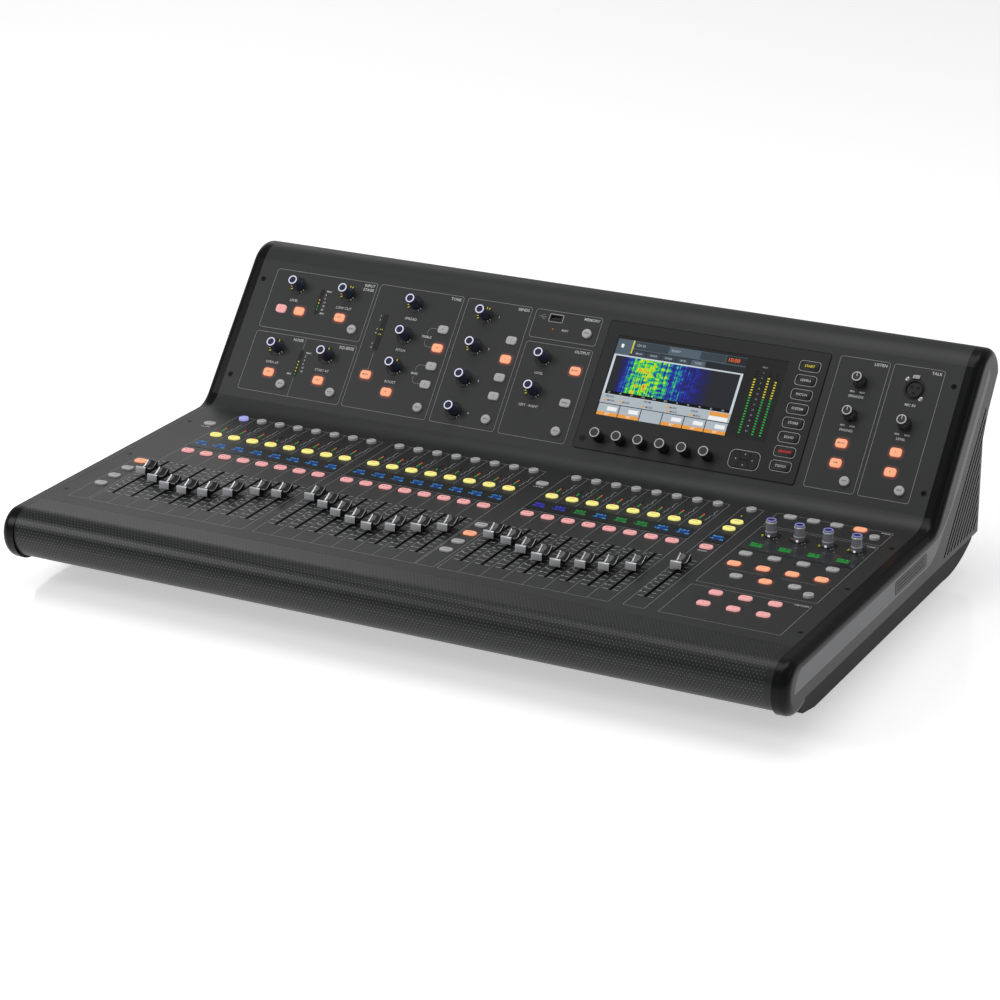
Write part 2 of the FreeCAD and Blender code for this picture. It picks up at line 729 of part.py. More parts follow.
def build():
    """Write every node."""
    screen_keys = [place for place in bridge_key_places() if place[0] in ("wide", "pad")]
    deck_holes, bridge_holes = screw_holes()
    deck_holes += [moved(hole, 0, 0, deck_height)
                   for hole in key_holes(strip_key_places() + function_key_places())]
    deck_holes += [moved(shaft_hole(), x, assign_knob_y, deck_height) for x in assign_knob_columns]
    flat_holes = key_holes(bridge_key_places())
    flat_holes += [moved(shaft_hole(), x, up, 0) for x, up in channel_encoders.values()]
    flat_holes += [moved(shaft_hole(), x, up, 0) for x, up in pots.values()]
    screen_shafts = [moved(shaft_hole(), x, screen_encoder_row, 0) for x in screen_encoder_columns]
    flat_holes += screen_shafts
    flat_holes.append(display_recess())
    flat_holes.append(moved(Part.makeCylinder(socket_radius + gap, 12, Vector(0, 0, -8)),
                            *talkback_place, 0))
    flat_holes.append(moved(block(-7.9, 7.9, -4.2, 4.2, -8, 4), *usb_place, 0))
    bridge_holes += [to_bridge(hole) for hole in flat_holes]

    cheek = make_cheek()
    trim = trim_body(0.8, 0.0)
    save("base_tray", make_base_tray())
    save("end_cheeks", Part.makeCompound([cheek, mirrored(cheek)]))
    save("side_trims", Part.makeCompound([trim, mirrored(trim)]))
    save("armrest", make_armrest())
    save("deck_panel", make_deck_panel(deck_holes))
    save("bridge_panel", make_bridge_panel(bridge_holes))
    save("rear_panel", make_rear_panel(rear_openings()))
    save("feet", make_feet())
    save("panel_screws", make_screws())
    save("screen_bezel", make_screen_bezel(key_holes(screen_keys) + screen_shafts))
    save("display_panel", make_display_panel())
    save("sockets", make_sockets())
    save("electronics", make_electronics())
    save("fader_modules", make_fader_modules())

    names = ["fader_%02d" % number for number in range(1, 25)] + ["fader_main"]
    for name, x, level in zip(names, fader_columns(), fader_levels):
        save(name, make_fader(x, fader_y(level)))
    encoder = make_knob(6.3, 5.3, 18.5, 9.0)
    for name, (x, up) in channel_encoders.items():
        save("encoder_" + name, to_bridge(moved(encoder, x, up, 0)))
    slim = make_knob(6.4, 5.7, 15.0, 9.0)
    save("screen_encoders", Part.makeCompound(
        [to_bridge(moved(slim, x, screen_encoder_row, bezel_rise)) for x in screen_encoder_columns]))
    pot = make_knob(5.8, 5.2, 15.5, 9.0, skirt=7.4)
    for name, (x, up) in pots.items():
        save("pot_" + name, to_bridge(moved(pot, x, up, 0)))
    save("assign_encoders", Part.makeCompound(
        [moved(encoder, x, assign_knob_y, deck_height) for x in assign_knob_columns]))
    save("deck_keys", deck_keys(strip_key_places() + function_key_places()))
    save("bridge_keys", bridge_keys(bridge_key_places()))
    save("power_switch", make_power_switch())


os.makedirs("parts", exist_ok=True)
build()
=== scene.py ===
import bpy
import bmesh
import math
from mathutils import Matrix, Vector


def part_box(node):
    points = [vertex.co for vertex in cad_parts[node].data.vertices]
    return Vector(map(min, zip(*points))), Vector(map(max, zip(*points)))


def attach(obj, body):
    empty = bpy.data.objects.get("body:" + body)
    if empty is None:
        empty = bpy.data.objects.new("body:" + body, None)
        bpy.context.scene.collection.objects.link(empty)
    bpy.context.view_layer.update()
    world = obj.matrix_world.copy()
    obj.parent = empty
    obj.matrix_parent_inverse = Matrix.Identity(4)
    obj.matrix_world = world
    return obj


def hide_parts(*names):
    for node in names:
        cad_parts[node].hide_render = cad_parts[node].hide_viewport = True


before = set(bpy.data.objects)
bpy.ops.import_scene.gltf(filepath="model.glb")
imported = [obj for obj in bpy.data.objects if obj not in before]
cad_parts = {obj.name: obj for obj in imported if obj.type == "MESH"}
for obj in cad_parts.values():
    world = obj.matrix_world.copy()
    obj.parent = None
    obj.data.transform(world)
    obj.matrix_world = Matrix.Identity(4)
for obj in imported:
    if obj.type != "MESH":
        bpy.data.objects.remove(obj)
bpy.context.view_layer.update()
bpy.ops.object.select_all(action="DESELECT")

# Pieces are drawn flat in millimetres, then settled in metres on one of these faces of the console.
bridgeTilt = math.radians(50.14)
rearLean = math.radians(59.36)
faces = {
    "deck": {"origin": (0, 0, 86.5), "turn": (0, 0, 0)},
    "bridge": {"origin": (0, 107, 86.5), "turn": (bridgeTilt, 0, 0)},
    "rearSlope": {"origin": (0, 242, 128), "turn": (-rearLean, math.pi, 0)},
    "rearWall": {"origin": (0, 242, 40.7), "turn": (-math.pi / 2, math.pi, 0)},
    "rightEnd": {"origin": (445.45, 0, 0), "turn": (math.pi / 2, 0, math.pi / 2)},
    "whole": {"origin": (0, 0, 0), "turn": (0, 0, 0)},
}


# handling pieces

def selectOnly(*parts):
    bpy.ops.object.select_all(action="DESELECT")
    for part in parts:
        part.select_set(True)
    bpy.context.view_layer.objects.active = parts[0]


def settle(piece, face, body="console"):
    place = faces[face]
    piece.scale = (0.001, 0.001, 0.001)
    piece.rotation_euler = place["turn"]
    piece.location = [value * 0.001 for value in place["origin"]]
    selectOnly(piece)
    bpy.ops.object.transform_apply(location=True, rotation=True, scale=True)
    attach(piece, body)
    return piece


def joinAs(name, parts):
    selectOnly(*parts)
    bpy.ops.object.transform_apply(location=True, rotation=True, scale=True)
    if len(parts) > 1:
        bpy.ops.object.join()
    whole = bpy.context.view_layer.objects.active
    whole.name = name
    whole.data.name = name
    return whole


def copyTo(master, x, y, z=0.0, turn=0.0, size=1.0):
    part = master.copy()
    part.data = master.data.copy()
    bpy.context.collection.objects.link(part)
    part.location = (x, y, z)
    part.rotation_euler = (0, 0, turn)
    part.scale = (size, size, size)
    return part


def discard(*parts):
    for part in parts:
        bpy.data.objects.remove(part)


def paint(piece, finish):
    piece.data.materials.clear()
    piece.data.materials.append(finish)
    return piece


# modelling in edit mode

def pickEdges(piece, test):
    bpy.ops.mesh.select_mode(type="EDGE")
    bpy.ops.mesh.select_all(action="DESELECT")
    mesh = bmesh.from_edit_mesh(piece.data)
    for edge in mesh.edges:
        ends = [corner.co for corner in edge.verts]
        edge.select_set(bool(test((ends[0] + ends[1]) / 2, (ends[1] - ends[0]).normalized())))
    bmesh.update_edit_mesh(piece.data)


def pickFaces(piece, test):
    bpy.ops.mesh.select_mode(type="FACE")
    bpy.ops.mesh.select_all(action="DESELECT")
    mesh = bmesh.from_edit_mesh(piece.data)
    for face in mesh.faces:
        face.select_set(bool(test(face.calc_center_median(), face.normal)))
    bmesh.update_edit_mesh(piece.data)


def smooth(piece, degrees=35):
    selectOnly(piece)
    bpy.ops.object.shade_smooth_by_angle(angle=math.radians(degrees))
    return piece


def slab(width, depth, low, high, corner=0.0, edge=0.0,
         rounds=4):   # a block with rounded corners and a softened rim
    bpy.ops.mesh.primitive_cube_add(size=1, location=(0, 0, (low + high) / 2),
                                    scale=(width, depth, high - low))
    piece = bpy.context.object
    bpy.ops.object.transform_apply(location=True, rotation=True, scale=True)
    bpy.ops.object.mode_set(mode="EDIT")
    if corner:
        pickEdges(piece, lambda middle, way: abs(way.z) > 0.99)
        bpy.ops.mesh.bevel(offset=corner, segments=rounds, affect="EDGES")
    if edge:
        pickEdges(piece, lambda middle, way: middle.z > high - 0.001 and abs(way.z) < 0.01)
        bpy.ops.mesh.bevel(offset=edge, segments=2, affect="EDGES")
    bpy.ops.object.mode_set(mode="OBJECT")
    return piece


def tracePath(points):   # one edge after another, extruded from a single corner
    bpy.ops.mesh.primitive_plane_add(size=0.01, location=points[0])
    piece = bpy.context.object
    bpy.ops.object.transform_apply(location=True, rotation=True, scale=True)
    bpy.ops.object.mode_set(mode="EDIT")
    bpy.ops.mesh.select_mode(type="VERT")
    bpy.ops.mesh.merge(type="CENTER")
    for here, there in zip(points, points[1:]):
        step = Vector(there) - Vector(here)
        bpy.ops.mesh.extrude_vertices_move(TRANSFORM_OT_translate={"value": step})
    return piece


def lathe(profile, steps=32, degrees=40):   # profile of (radius, height) turned about Z
    piece = tracePath([(radius, 0.0, height) for radius, height in profile])
    bpy.ops.mesh.select_all(action="SELECT")
    bpy.ops.mesh.spin(steps=steps, angle=math.tau, center=(0, 0, 0), axis=(0, 0, 1))
    bpy.ops.mesh.select_all(action="SELECT")
    bpy.ops.mesh.remove_doubles(threshold=0.001)
    bpy.ops.mesh.normals_make_consistent(inside=False)
    bpy.ops.object.mode_set(mode="OBJECT")
    return smooth(piece, degrees)


def plate(outline, thickness):   # a flat closed outline, filled and given a thickness upwards
    piece = tracePath([(x, y, 0.0) for x, y in outline])
    bpy.ops.mesh.select_all(action="SELECT")
    bpy.ops.mesh.edge_face_add()
    bpy.ops.mesh.extrude_region_move(TRANSFORM_OT_translate={"value": (0, 0, thickness)})
    bpy.ops.mesh.select_all(action="SELECT")
    bpy.ops.mesh.normals_make_consistent(inside=False)
    bpy.ops.object.mode_set(mode="OBJECT")
    return piece


def inkLines(name, paths, width, finish, closed=False):   # printed lines, as flat ribbons on the panel
    curve = bpy.data.curves.new(name, "CURVE")
    curve.dimensions = "3D"
    curve.bevel_depth = width / 2
    curve.bevel_resolution = 0
    for path in paths:
        line = curve.splines.new("POLY")
        line.points.add(len(path) - 1)
        for point, (x, y) in zip(line.points, path):
            point.co = (x, y, 0, 1)
        line.use_cyclic_u = closed
    piece = bpy.data.objects.new(name, curve)
    bpy.context.collection.objects.link(piece)
    selectOnly(piece)
    bpy.ops.object.convert(target="MESH")
    piece = bpy.context.object
    piece.scale = (1, 1, 0.25)
    piece.location = (0, 0, 0.03)
    bpy.ops.object.transform_apply(location=True, rotation=True, scale=True)
    return paint(piece, finish)


def roundedOutline(left, right, front, rear, corner, steps=4):
    centres = [(right - corner, rear - corner, 0), (left + corner, rear - corner, 90),
               (left + corner, front + corner, 180), (right - corner, front + corner, 270)]
    return [(x + corner * math.cos(math.radians(start + 90 * n / steps)),
             y + corner * math.sin(math.radians(start + 90 * n / steps)))
            for x, y, start in centres for n in range(steps + 1)]


wordMeshes = {}


def word(text, x, y, height, finish, align="CENTER", lift=0.06, turn=0.0):
    key = (text, align, finish.name)
    if key not in wordMeshes:
        bpy.ops.object.text_add(location=(0, 0, 0))
        letters = bpy.context.object
        letters.data.body = text
        letters.data.align_x = align
        letters.data.align_y = "CENTER"
        letters.data.resolution_u = 2
        letters.data.size = 1.35
        letters.data.offset = 0.012
        bpy.ops.object.convert(target="MESH")
        letters = bpy.context.object
        wordMeshes[key] = paint(letters, finish)
    return copyTo(wordMeshes[key], x, y, lift, turn, height)


# finishes

def colour(code):   # sRGB hex to linear
    parts = [int(code[place:place + 2], 16) / 255 for place in (1, 3, 5)]
    return [part / 12.92 if part <= 0.04045 else ((part + 0.055) / 1.055) ** 2.4 for part in parts] + [1.0]


def addNode(tree, kind, settings, links=None):
    node = tree.nodes.new(kind)
    for name, value in settings.items():
        if isinstance(name, int) or name in node.inputs:
            node.inputs[name].default_value = value
        else:
            setattr(node, name, value)
    for name, source in (links or {}).items():
        tree.links.new(source, node.inputs[name])
    return node


def grainedFinish(name, look):   # two close tones in a fine grain, a slight change of gloss, and relief
    finish = bpy.data.materials.new(name)
    finish.use_nodes = True
    tree = finish.node_tree
    shader = tree.nodes["Principled BSDF"]
    for socket, value in look["shader"].items():
        shader.inputs[socket].default_value = value
    place = addNode(tree, "ShaderNodeTexCoord", {})
    grain = addNode(tree, "ShaderNodeTexNoise", {"Scale": 1000 / look["grainMm"], "Detail": 3.0},
                    {"Vector": place.outputs["Object"]})
    cloud = addNode(tree, "ShaderNodeTexNoise", {"Scale": 9.0, "Detail": 2.0},
                    {"Vector": place.outputs["Object"]})
    tones = addNode(tree, "ShaderNodeMix",
                    {"data_type": "RGBA", 6: colour(look["dark"]), 7: colour(look["light"])},
                    {0: grain.outputs["Fac"]})
    tree.links.new(tones.outputs[2], shader.inputs["Base Color"])
    gloss = addNode(tree, "ShaderNodeMapRange", {"To Min": look["gloss"][0], "To Max": look["gloss"][1]},
                    {"Value": cloud.outputs["Fac"]})
    tree.links.new(gloss.outputs["Result"], shader.inputs["Roughness"])
    relief = addNode(tree, "ShaderNodeBump", {"Strength": look["relief"], "Distance": 0.0001},
                     {"Height": grain.outputs["Fac"]})
    tree.links.new(relief.outputs["Normal"], shader.inputs["Normal"])
    return finish


def litFinish(name, look):   # translucent plastic with a lamp under it, brighter in places
    finish = bpy.data.materials.new(name)
    finish.use_nodes = True
    tree = finish.node_tree
    shader = tree.nodes["Principled BSDF"]
    shader.inputs["Roughness"].default_value = look.get("rough", 0.45)
    shader.inputs["Specular IOR Level"].default_value = look.get("shine", 0.25)
    shader.inputs["Emission Strength"].default_value = look["glow"]
    body = [part * look.get("body", 0.05) for part in colour(look["edge"])[:3]]
    shader.inputs["Base Color"].default_value = body + [1.0]
    place = addNode(tree, "ShaderNodeTexCoord", {})
    grain = addNode(tree, "ShaderNodeTexNoise", {"Scale": 260.0, "Detail": 1.0},
                    {"Vector": place.outputs["Object"]})
    tones = addNode(tree, "ShaderNodeMix",
                    {"data_type": "RGBA", 6: colour(look["edge"]), 7: colour(look["core"])},
                    {0: grain.outputs["Fac"]})
    tree.links.new(tones.outputs[2], shader.inputs["Emission Color"])
    return finish


# powder coat on folded steel: even charcoal, softly glossy, with a fine orange-peel skin
powderCoat = grainedFinish("charcoalPowderCoat", {
    "dark": "#202122", "light": "#292a2a", "gloss": (0.40, 0.48), "grainMm": 0.9, "relief": 0.10,
    "shader": {"Specular IOR Level": 0.4}})
# powder coat on the tray: darker and duller
trayCoat = grainedFinish("blackPowderCoat", {
    "dark": "#0a0a0b", "light": "#0f1010", "gloss": (0.5, 0.6), "grainMm": 0.9, "relief": 0.2,
    "shader": {"Specular IOR Level": 0.16}})
# moulded ABS of the end cheeks: smooth black with a broad soft highlight
cheekAbs = grainedFinish("mouldedBlackAbs", {
    "dark": "#090a0a", "light": "#0d0e0e", "gloss": (0.24, 0.30), "grainMm": 0.5, "relief": 0.06,
    "shader": {"Specular IOR Level": 0.15}})
# moulded ABS of the armrest, under its dotted texture
armrestAbs = grainedFinish("texturedArmrestAbs", {
    "dark": "#121314", "light": "#181919", "gloss": (0.34, 0.40), "grainMm": 0.6, "relief": 0.08,
    "shader": {"Specular IOR Level": 0.36}})
# the raised dots are painted much paler than the skin between them: a painted highlight for the light they
# catch
dotsPaintedHighlight = grainedFinish("paintedHighlightDotAbs", {
    "dark": "#606264", "light": "#6c6e70", "gloss": (0.30, 0.40), "grainMm": 0.8, "relief": 0.0,
    "shader": {"Specular IOR Level": 0.5}})
# anodised aluminium strip: even silver grey, satin
anodisedStrip = grainedFinish("anodisedAluminium", {
    "dark": "#5c5d61", "light": "#66676b", "gloss": (0.38, 0.46), "grainMm": 0.4, "relief": 0.08,
    "shader": {"Metallic": 0.7}})
# EPDM rubber feet
footRubber = grainedFinish("epdmRubber", {
    "dark": "#111111", "light": "#191919", "gloss": (0.75, 0.85), "grainMm": 0.8, "relief": 0.3,
    "shader": {"IOR": 1.52}})
# black oxide screws: dark steel with a dull shine
blackOxide = grainedFinish("blackOxideSteel", {
    "dark": "#0f0f10", "light": "#1a1a1b", "gloss": (0.35, 0.5), "grainMm": 0.3, "relief": 0.2,
    "shader": {"Metallic": 0.8}})
# screen surround: painted polycarbonate, a touch glossier than the panel
bezelPaint = grainedFinish("paintedPolycarbonate", {
    "dark": "#161717", "light": "#1c1d1d", "gloss": (0.30, 0.36), "grainMm": 0.7, "relief": 0.05,
    "shader": {"Specular IOR Level": 0.4}})
# acrylic windows over the displays: black, polished
smokedAcrylic = grainedFinish("smokedAcrylic", {
    "dark": "#0e0f10", "light": "#131415", "gloss": (0.36, 0.42), "grainMm": 2.0, "relief": 0.0,
    "shader": {"Specular IOR Level": 0.3}})
# smoked window over the assign row: greyer
greyAcrylic = grainedFinish("greyAcrylic", {
    "dark": "#2c2d2f", "light": "#343537", "gloss": (0.10, 0.14), "grainMm": 2.0, "relief": 0.0,
    "shader": {"Specular IOR Level": 0.5}})
# satin chrome plate on ABS: bright metal, softly blurred
satinChrome = grainedFinish("satinChromePlate", {
    "dark": "#c8cbce", "light": "#d6d9dc", "gloss": (0.22, 0.28), "grainMm": 0.6, "relief": 0.04,
    "shader": {"Metallic": 0.25, "Specular IOR Level": 0.8}})
# gloss black ABS of the fader caps
glossAbs = grainedFinish("glossBlackAbs", {
    "dark": "#0b0b0c", "light": "#111112", "gloss": (0.16, 0.22), "grainMm": 0.8, "relief": 0.03,
    "shader": {"Specular IOR Level": 0.5}})
# soft-touch coat on the screen knobs and the pots
softTouch = grainedFinish("softTouchBlack", {
    "dark": "#232426", "light": "#2a2b2e", "gloss": (0.42, 0.5), "grainMm": 0.5, "relief": 0.1,
    "shader": {"IOR": 1.5}})
# smoked polycarbonate encoder bodies: deep blue violet, polished
smokedKnob = grainedFinish("smokedVioletPolycarbonate", {
    "dark": "#33364a", "light": "#3e425a", "gloss": (0.20, 0.26), "grainMm": 2.5, "relief": 0.0,
    "shader": {"Specular IOR Level": 0.7}})
# clear grey polycarbonate of the assign knobs: lets light through, so it looks pale against the deck
clearKnob = grainedFinish("clearGreyPolycarbonate", {
    "dark": "#6c6f75", "light": "#7a7d84", "gloss": (0.12, 0.18), "grainMm": 2.5, "relief": 0.0,
    "shader": {"IOR": 1.58, "Coat Weight": 0.3}})
# clear polycarbonate skirt of the pots
clearSkirt = grainedFinish("clearPolycarbonate", {
    "dark": "#3a3b3d", "light": "#47484a", "gloss": (0.10, 0.16), "grainMm": 2.5, "relief": 0.0,
    "shader": {"IOR": 1.58, "Alpha": 0.72}})
# silicone rubber keys that aren't lit: pale grey, matt
greySilicone = grainedFinish("greySilicone", {
    "dark": "#b8b8b8", "light": "#c2c2c2", "gloss": (0.50, 0.60), "grainMm": 1.0, "relief": 0.05,
    "shader": {"IOR": 1.42}})
# screen printing ink: pale grey, flat
paleInk = grainedFinish("paleScreenInk", {
    "dark": "#d2d3d3", "light": "#dedfdf", "gloss": (0.55, 0.65), "grainMm": 1.2, "relief": 0.0,
    "shader": {"IOR": 1.5}})
fineInk = grainedFinish("greyScreenInk", {
    "dark": "#a2a3a3", "light": "#aeafaf", "gloss": (0.55, 0.65), "grainMm": 1.2, "relief": 0.0,
    "shader": {"IOR": 1.5}})
darkInk = grainedFinish("darkScreenInk", {
    "dark": "#303032", "light": "#38383a", "gloss": (0.5, 0.6), "grainMm": 1.2, "relief": 0.0,
    "shader": {"IOR": 1.5}})
# nickel plate on the sockets
nickelPlate = grainedFinish("nickelPlate", {
    "dark": "#9c9a96", "light": "#b0aeaa", "gloss": (0.22, 0.3), "grainMm": 0.5, "relief": 0.05,
    "shader": {"Metallic": 1.0}})
# die-cast socket shells: black, satin
castShell = grainedFinish("blackDieCast", {
    "dark": "#141415", "light": "#1d1d1f", "gloss": (0.32, 0.42), "grainMm": 0.6, "relief": 0.15,
    "shader": {"Metallic": 0.3}})
circuitBoard = grainedFinish("greenSolderMask", {
    "dark": "#0e3a20", "light": "#155230", "gloss": (0.3, 0.4), "grainMm": 3.0, "relief": 0.1,
    "shader": {"IOR": 1.5}})
zincSteel = grainedFinish("zincPlatedSteel", {
    "dark": "#8a8c8e", "light": "#9fa1a3", "gloss": (0.35, 0.5), "grainMm": 4.0, "relief": 0.05,
    "shader": {"Metallic": 1.0}})

# silicone keys lit from below, each colour of lamp its own finish
litKeys = {
    "orange": litFinish("orangeLitSilicone",
                        {"edge": "#ffa478", "core": "#ffc09c", "glow": 0.68, "body": 0.5}),
    "pink": litFinish("pinkSilicone", {"edge": "#f4a8a8", "core": "#fcbaba", "glow": 0.6, "body": 0.5}),
    "yellow": litFinish("yellowLitSilicone",
                        {"edge": "#fdf284", "core": "#fffaa0", "glow": 0.68, "body": 0.45}),
    "lavender": litFinish("lavenderLitSilicone",
                          {"edge": "#aaaaf4", "core": "#c0c0ff", "glow": 0.62, "body": 0.45}),
    "grey": greySilicone,
}
# indicator lamps: small clear LED windows
lamps = {
    "yellow": litFinish("yellowLamp", {"edge": "#d8c818", "core": "#ece23c", "glow": 0.9}),
    "green": litFinish("greenLamp", {"edge": "#16a032", "core": "#34c850", "glow": 0.85}),
    "orange": litFinish("orangeLamp", {"edge": "#d0602c", "core": "#ea7a44", "glow": 0.85}),
    "red": litFinish("redLamp", {"edge": "#d01c16", "core": "#ff3a2c", "glow": 0.9}),
    "white": litFinish("whiteLamp", {"edge": "#d6d6f0", "core": "#f4f2ff", "glow": 0.85}),
    "blue": litFinish("blueLamp", {"edge": "#1f8fe0", "core": "#46b8ff", "glow": 1.0}),
    "deepBlue": litFinish("deepBlueLamp", {"edge": "#122c66", "core": "#1c3f8c", "glow": 0.75}),
    "violet": litFinish("violetLamp", {"edge": "#3a3ad8", "core": "#5a5aff", "glow": 0.9}),
    "deepViolet": litFinish("deepVioletLamp", {"edge": "#1c1c6c", "core": "#2a2a96", "glow": 0.8}),
    "deepGreen": litFinish("deepGreenLamp", {"edge": "#1a5a2a", "core": "#227438", "glow": 0.7}),
    # black of unlit lamp windows; the same black also serves as painted shade inside holes (grille holes,
    # socket pin holes)
    "off": grainedFinish("unlitLampWindowAndPaintedHoleShade", {
        "dark": "#060607", "light": "#0a0a0b", "gloss": (0.4, 0.5), "grainMm": 1.5, "relief": 0.0,
        "shader": {"Specular IOR Level": 0.2}}),
}
print("finishes ready")

# CAD parts that keep their shape
kept = {
    "base_tray": trayCoat, "end_cheeks": cheekAbs, "side_trims": anodisedStrip, "armrest": armrestAbs,
    "deck_panel": powderCoat, "bridge_panel": powderCoat, "rear_panel": trayCoat, "feet": footRubber,
    "panel_screws": blackOxide, "screen_bezel": bezelPaint, "display_panel": smokedAcrylic,
    "sockets": castShell, "electronics": circuitBoard, "fader_modules": trayCoat, "power_switch": softTouch,
}
for node, finish in kept.items():
    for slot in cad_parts[node].material_slots:
        slot.material = finish
print("CAD parts painted")

# where the strips and rows are
strips = {"firstX": -370.3, "pitch": 23.7, "extra": {8: 11.9, 16: 27.7, 24: 14.5},
          "selectY": 77.2, "soloY": 18.3, "muteY": -39.5, "slotY": (-187.5, -78.0),
          "frameY": (-214.9, 83.0), "displayY": (-26.0, 1.3)}
stripX = []
nextX = strips["firstX"]
for number in range(1, 26):
    stripX.append(nextX)
    nextX += strips["pitch"] + strips["extra"].get(number, 0.0)

# keys
keyShapes = {   # width, depth, corner, height
    "oblong": (12.6, 9.6, 3.0, 2.0), "broad": (13.6, 10.2, 3.8, 1.7), "oval": (13.4, 10.4, 4.8, 1.7),
    "round": (10.8, 10.8, 5.3, 2.8), "wide": (21.5, 10.8, 3.4, 1.5)}
deckKeys = [("round", stripX[0], strips["selectY"], "lavender", "SELECT")]
deckKeys += [("round", x, strips["selectY"], "grey", "SELECT") for x in stripX[1:]]
deckKeys += [("oval", x, strips["soloY"], "yellow", "SOLO") for x in stripX]
deckKeys += [("broad", x, strips["muteY"], "pink", "MUTE") for x in stripX]
deckKeys += [("oval", stripX[-1], 38.9, "yellow", "CLEAR")]
for x, lit in ((-397.7, 0), (21.9, 1)):
    deckKeys += [("broad", x, -91.5 - 25.7 * row, "orange" if row == lit else "grey",
                  "LAYER") for row in range(4)]
deckKeys += [("broad", -396.1, 46.8, "grey", "BANK"), ("broad", 22.9, 46.8, "grey", "BANK")]
deckKeys += [("broad", 296.5 + 25.9 * n, 77.3, "orange" if n == 3 else "grey", "ABCD"[n]) for n in range(4)]
deckKeys += [("round", 395.7, 61.6, "grey", "VIEW"), ("round", 394.3, -113.0, "grey", "VIEW")]
deckKeys += [("broad", 295.7 + 31.4 * n, -38.5, "grey", str(n + 5)) for n in range(4)]
deckKeys += [("broad", 295.7 + 31.4 * n, -68.0, "orange", str(n + 9)) for n in range(4)]
deckKeys += [("oval", 310.9 + 31.4 * n, -98.2, "orange" if n == 1 else "grey", "ABC"[n]) for n in range(3)]
deckKeys += [("broad", 310.4 + 31.5 * n, y, "pink", str(n + first)) for first, y in ((1, -146.9), (4, -176.8))
             for n in range(3)]
bridgeKeys = [
    ("oblong", -385.2, 127.8, "pink", "+"), ("oblong", -361.3, 127.8, "orange", "/"),
    ("oblong", -307.8, 127.8, "orange", "CUT"), ("round", -287.5, 115.9, "grey", "VIEW"),
    ("oblong", -373.4, 49.2, "orange", "ON"), ("oblong", -308.2, 49.2, "orange", "ON"),
    ("oblong", -219.6, 49.2, "orange", "ON"), ("oblong", -251.6, 65.5, "orange", "MODE"),
    ("oblong", -175.0, 133.2, "grey", "H1"), ("oblong", -175.0, 110.5, "orange", "H2"),
    ("oblong", -175.0, 88.0, "grey", "L1"), ("oblong", -175.0, 65.5, "grey", "L2"),
    ("oblong", -88.9, 133.2, "grey", "1"), ("oblong", -88.9, 110.5, "orange", "2"),
    ("oblong", -88.9, 88.0, "grey", "3"), ("oblong", -88.9, 65.5, "grey", "4"),
    ("oblong", -2.6, 109.8, "orange", "MONO"), ("oblong", -2.6, 71.2, "grey", "MAIN"),
    ("round", -2.6, 154.9, "grey", "VIEW"),
    ("oblong", 319.2, 78.3, "orange", "MONO"), ("oblong", 319.2, 55.8, "orange", "DIM"),
    ("oblong", 380.0, 78.3, "orange", "A"), ("oblong", 380.0, 55.8, "orange", "B")]
bridgeKeys += [("round", x, 37.2, "grey", "VIEW") for x in (-353.3, -288.0, -175.1, -89.1, -2.9, 334.3,
                                                            395.3)]


def makeKeys(name, table, face, body):
    masters = {}
    for kind, (width, depth, corner, height) in keyShapes.items():
        masters[kind] = smooth(slab(width, depth, -5.5, height, corner, 0.7, 6), 40)
    groups = {}
    for kind, x, y, tint, text in table:
        groups.setdefault(tint, []).append(copyTo(masters[kind], x, y))
    pieces = []
    for tint, caps in groups.items():
        piece = paint(joinAs(name + tint.capitalize(), caps), litKeys[tint])
        pieces.append(settle(piece, face, body))
    marks = [word(text, x, y, min(1.9, 8.4 / max(1, len(text) * 0.62)), darkInk,
                  lift=keyShapes[kind][3] + 0.03)
             for kind, x, y, tint, text in table]
    pieces.append(settle(joinAs(name + "Legends", marks), face, body))
    discard(*masters.values())
    return pieces


for piece in makeKeys("deckKeys", deckKeys, "deck", "deck_keys"):
    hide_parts("deck_keys")
for piece in makeKeys("bridgeKeys", bridgeKeys, "bridge", "bridge_keys"):
    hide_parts("bridge_keys")
print("keys made")

# painted glow: the panel itself is made to shine red round each lit orange key, a painted stand-in for the
# lamps' spill onto it
glow = {"reach": 3.4, "rings": 4, "strength": 0.42}


def glowFinish():
    # painted light: this coat emits red near the lit keys, though the panel is no lamp
    finish = bpy.data.materials.new("paintedLampSpillOnPowderCoat")   # the panel's own coat, warmed by the lamp
    finish.use_nodes = True
    tree = finish.node_tree
    shader = tree.nodes["Principled BSDF"]
    shader.inputs["Base Color"].default_value = colour("#2a2b2c")
    shader.inputs["Roughness"].default_value = 0.45
    shader.inputs["Emission Color"].default_value = colour("#c8341a")
    # nearness to the key sets the strength of the painted glow
    near = addNode(tree, "ShaderNodeAttribute", {"attribute_name": "nearness"})
    fall = addNode(tree, "ShaderNodeMath", {"operation": "POWER", 1: 2.0}, {0: near.outputs["Fac"]})
    level = addNode(tree, "ShaderNodeMath", {"operation": "MULTIPLY", 1: glow["strength"]},
                    {0: fall.outputs[0]})
    tree.links.new(level.outputs[0], shader.inputs["Emission Strength"])
    return finish


spill = glowFinish()


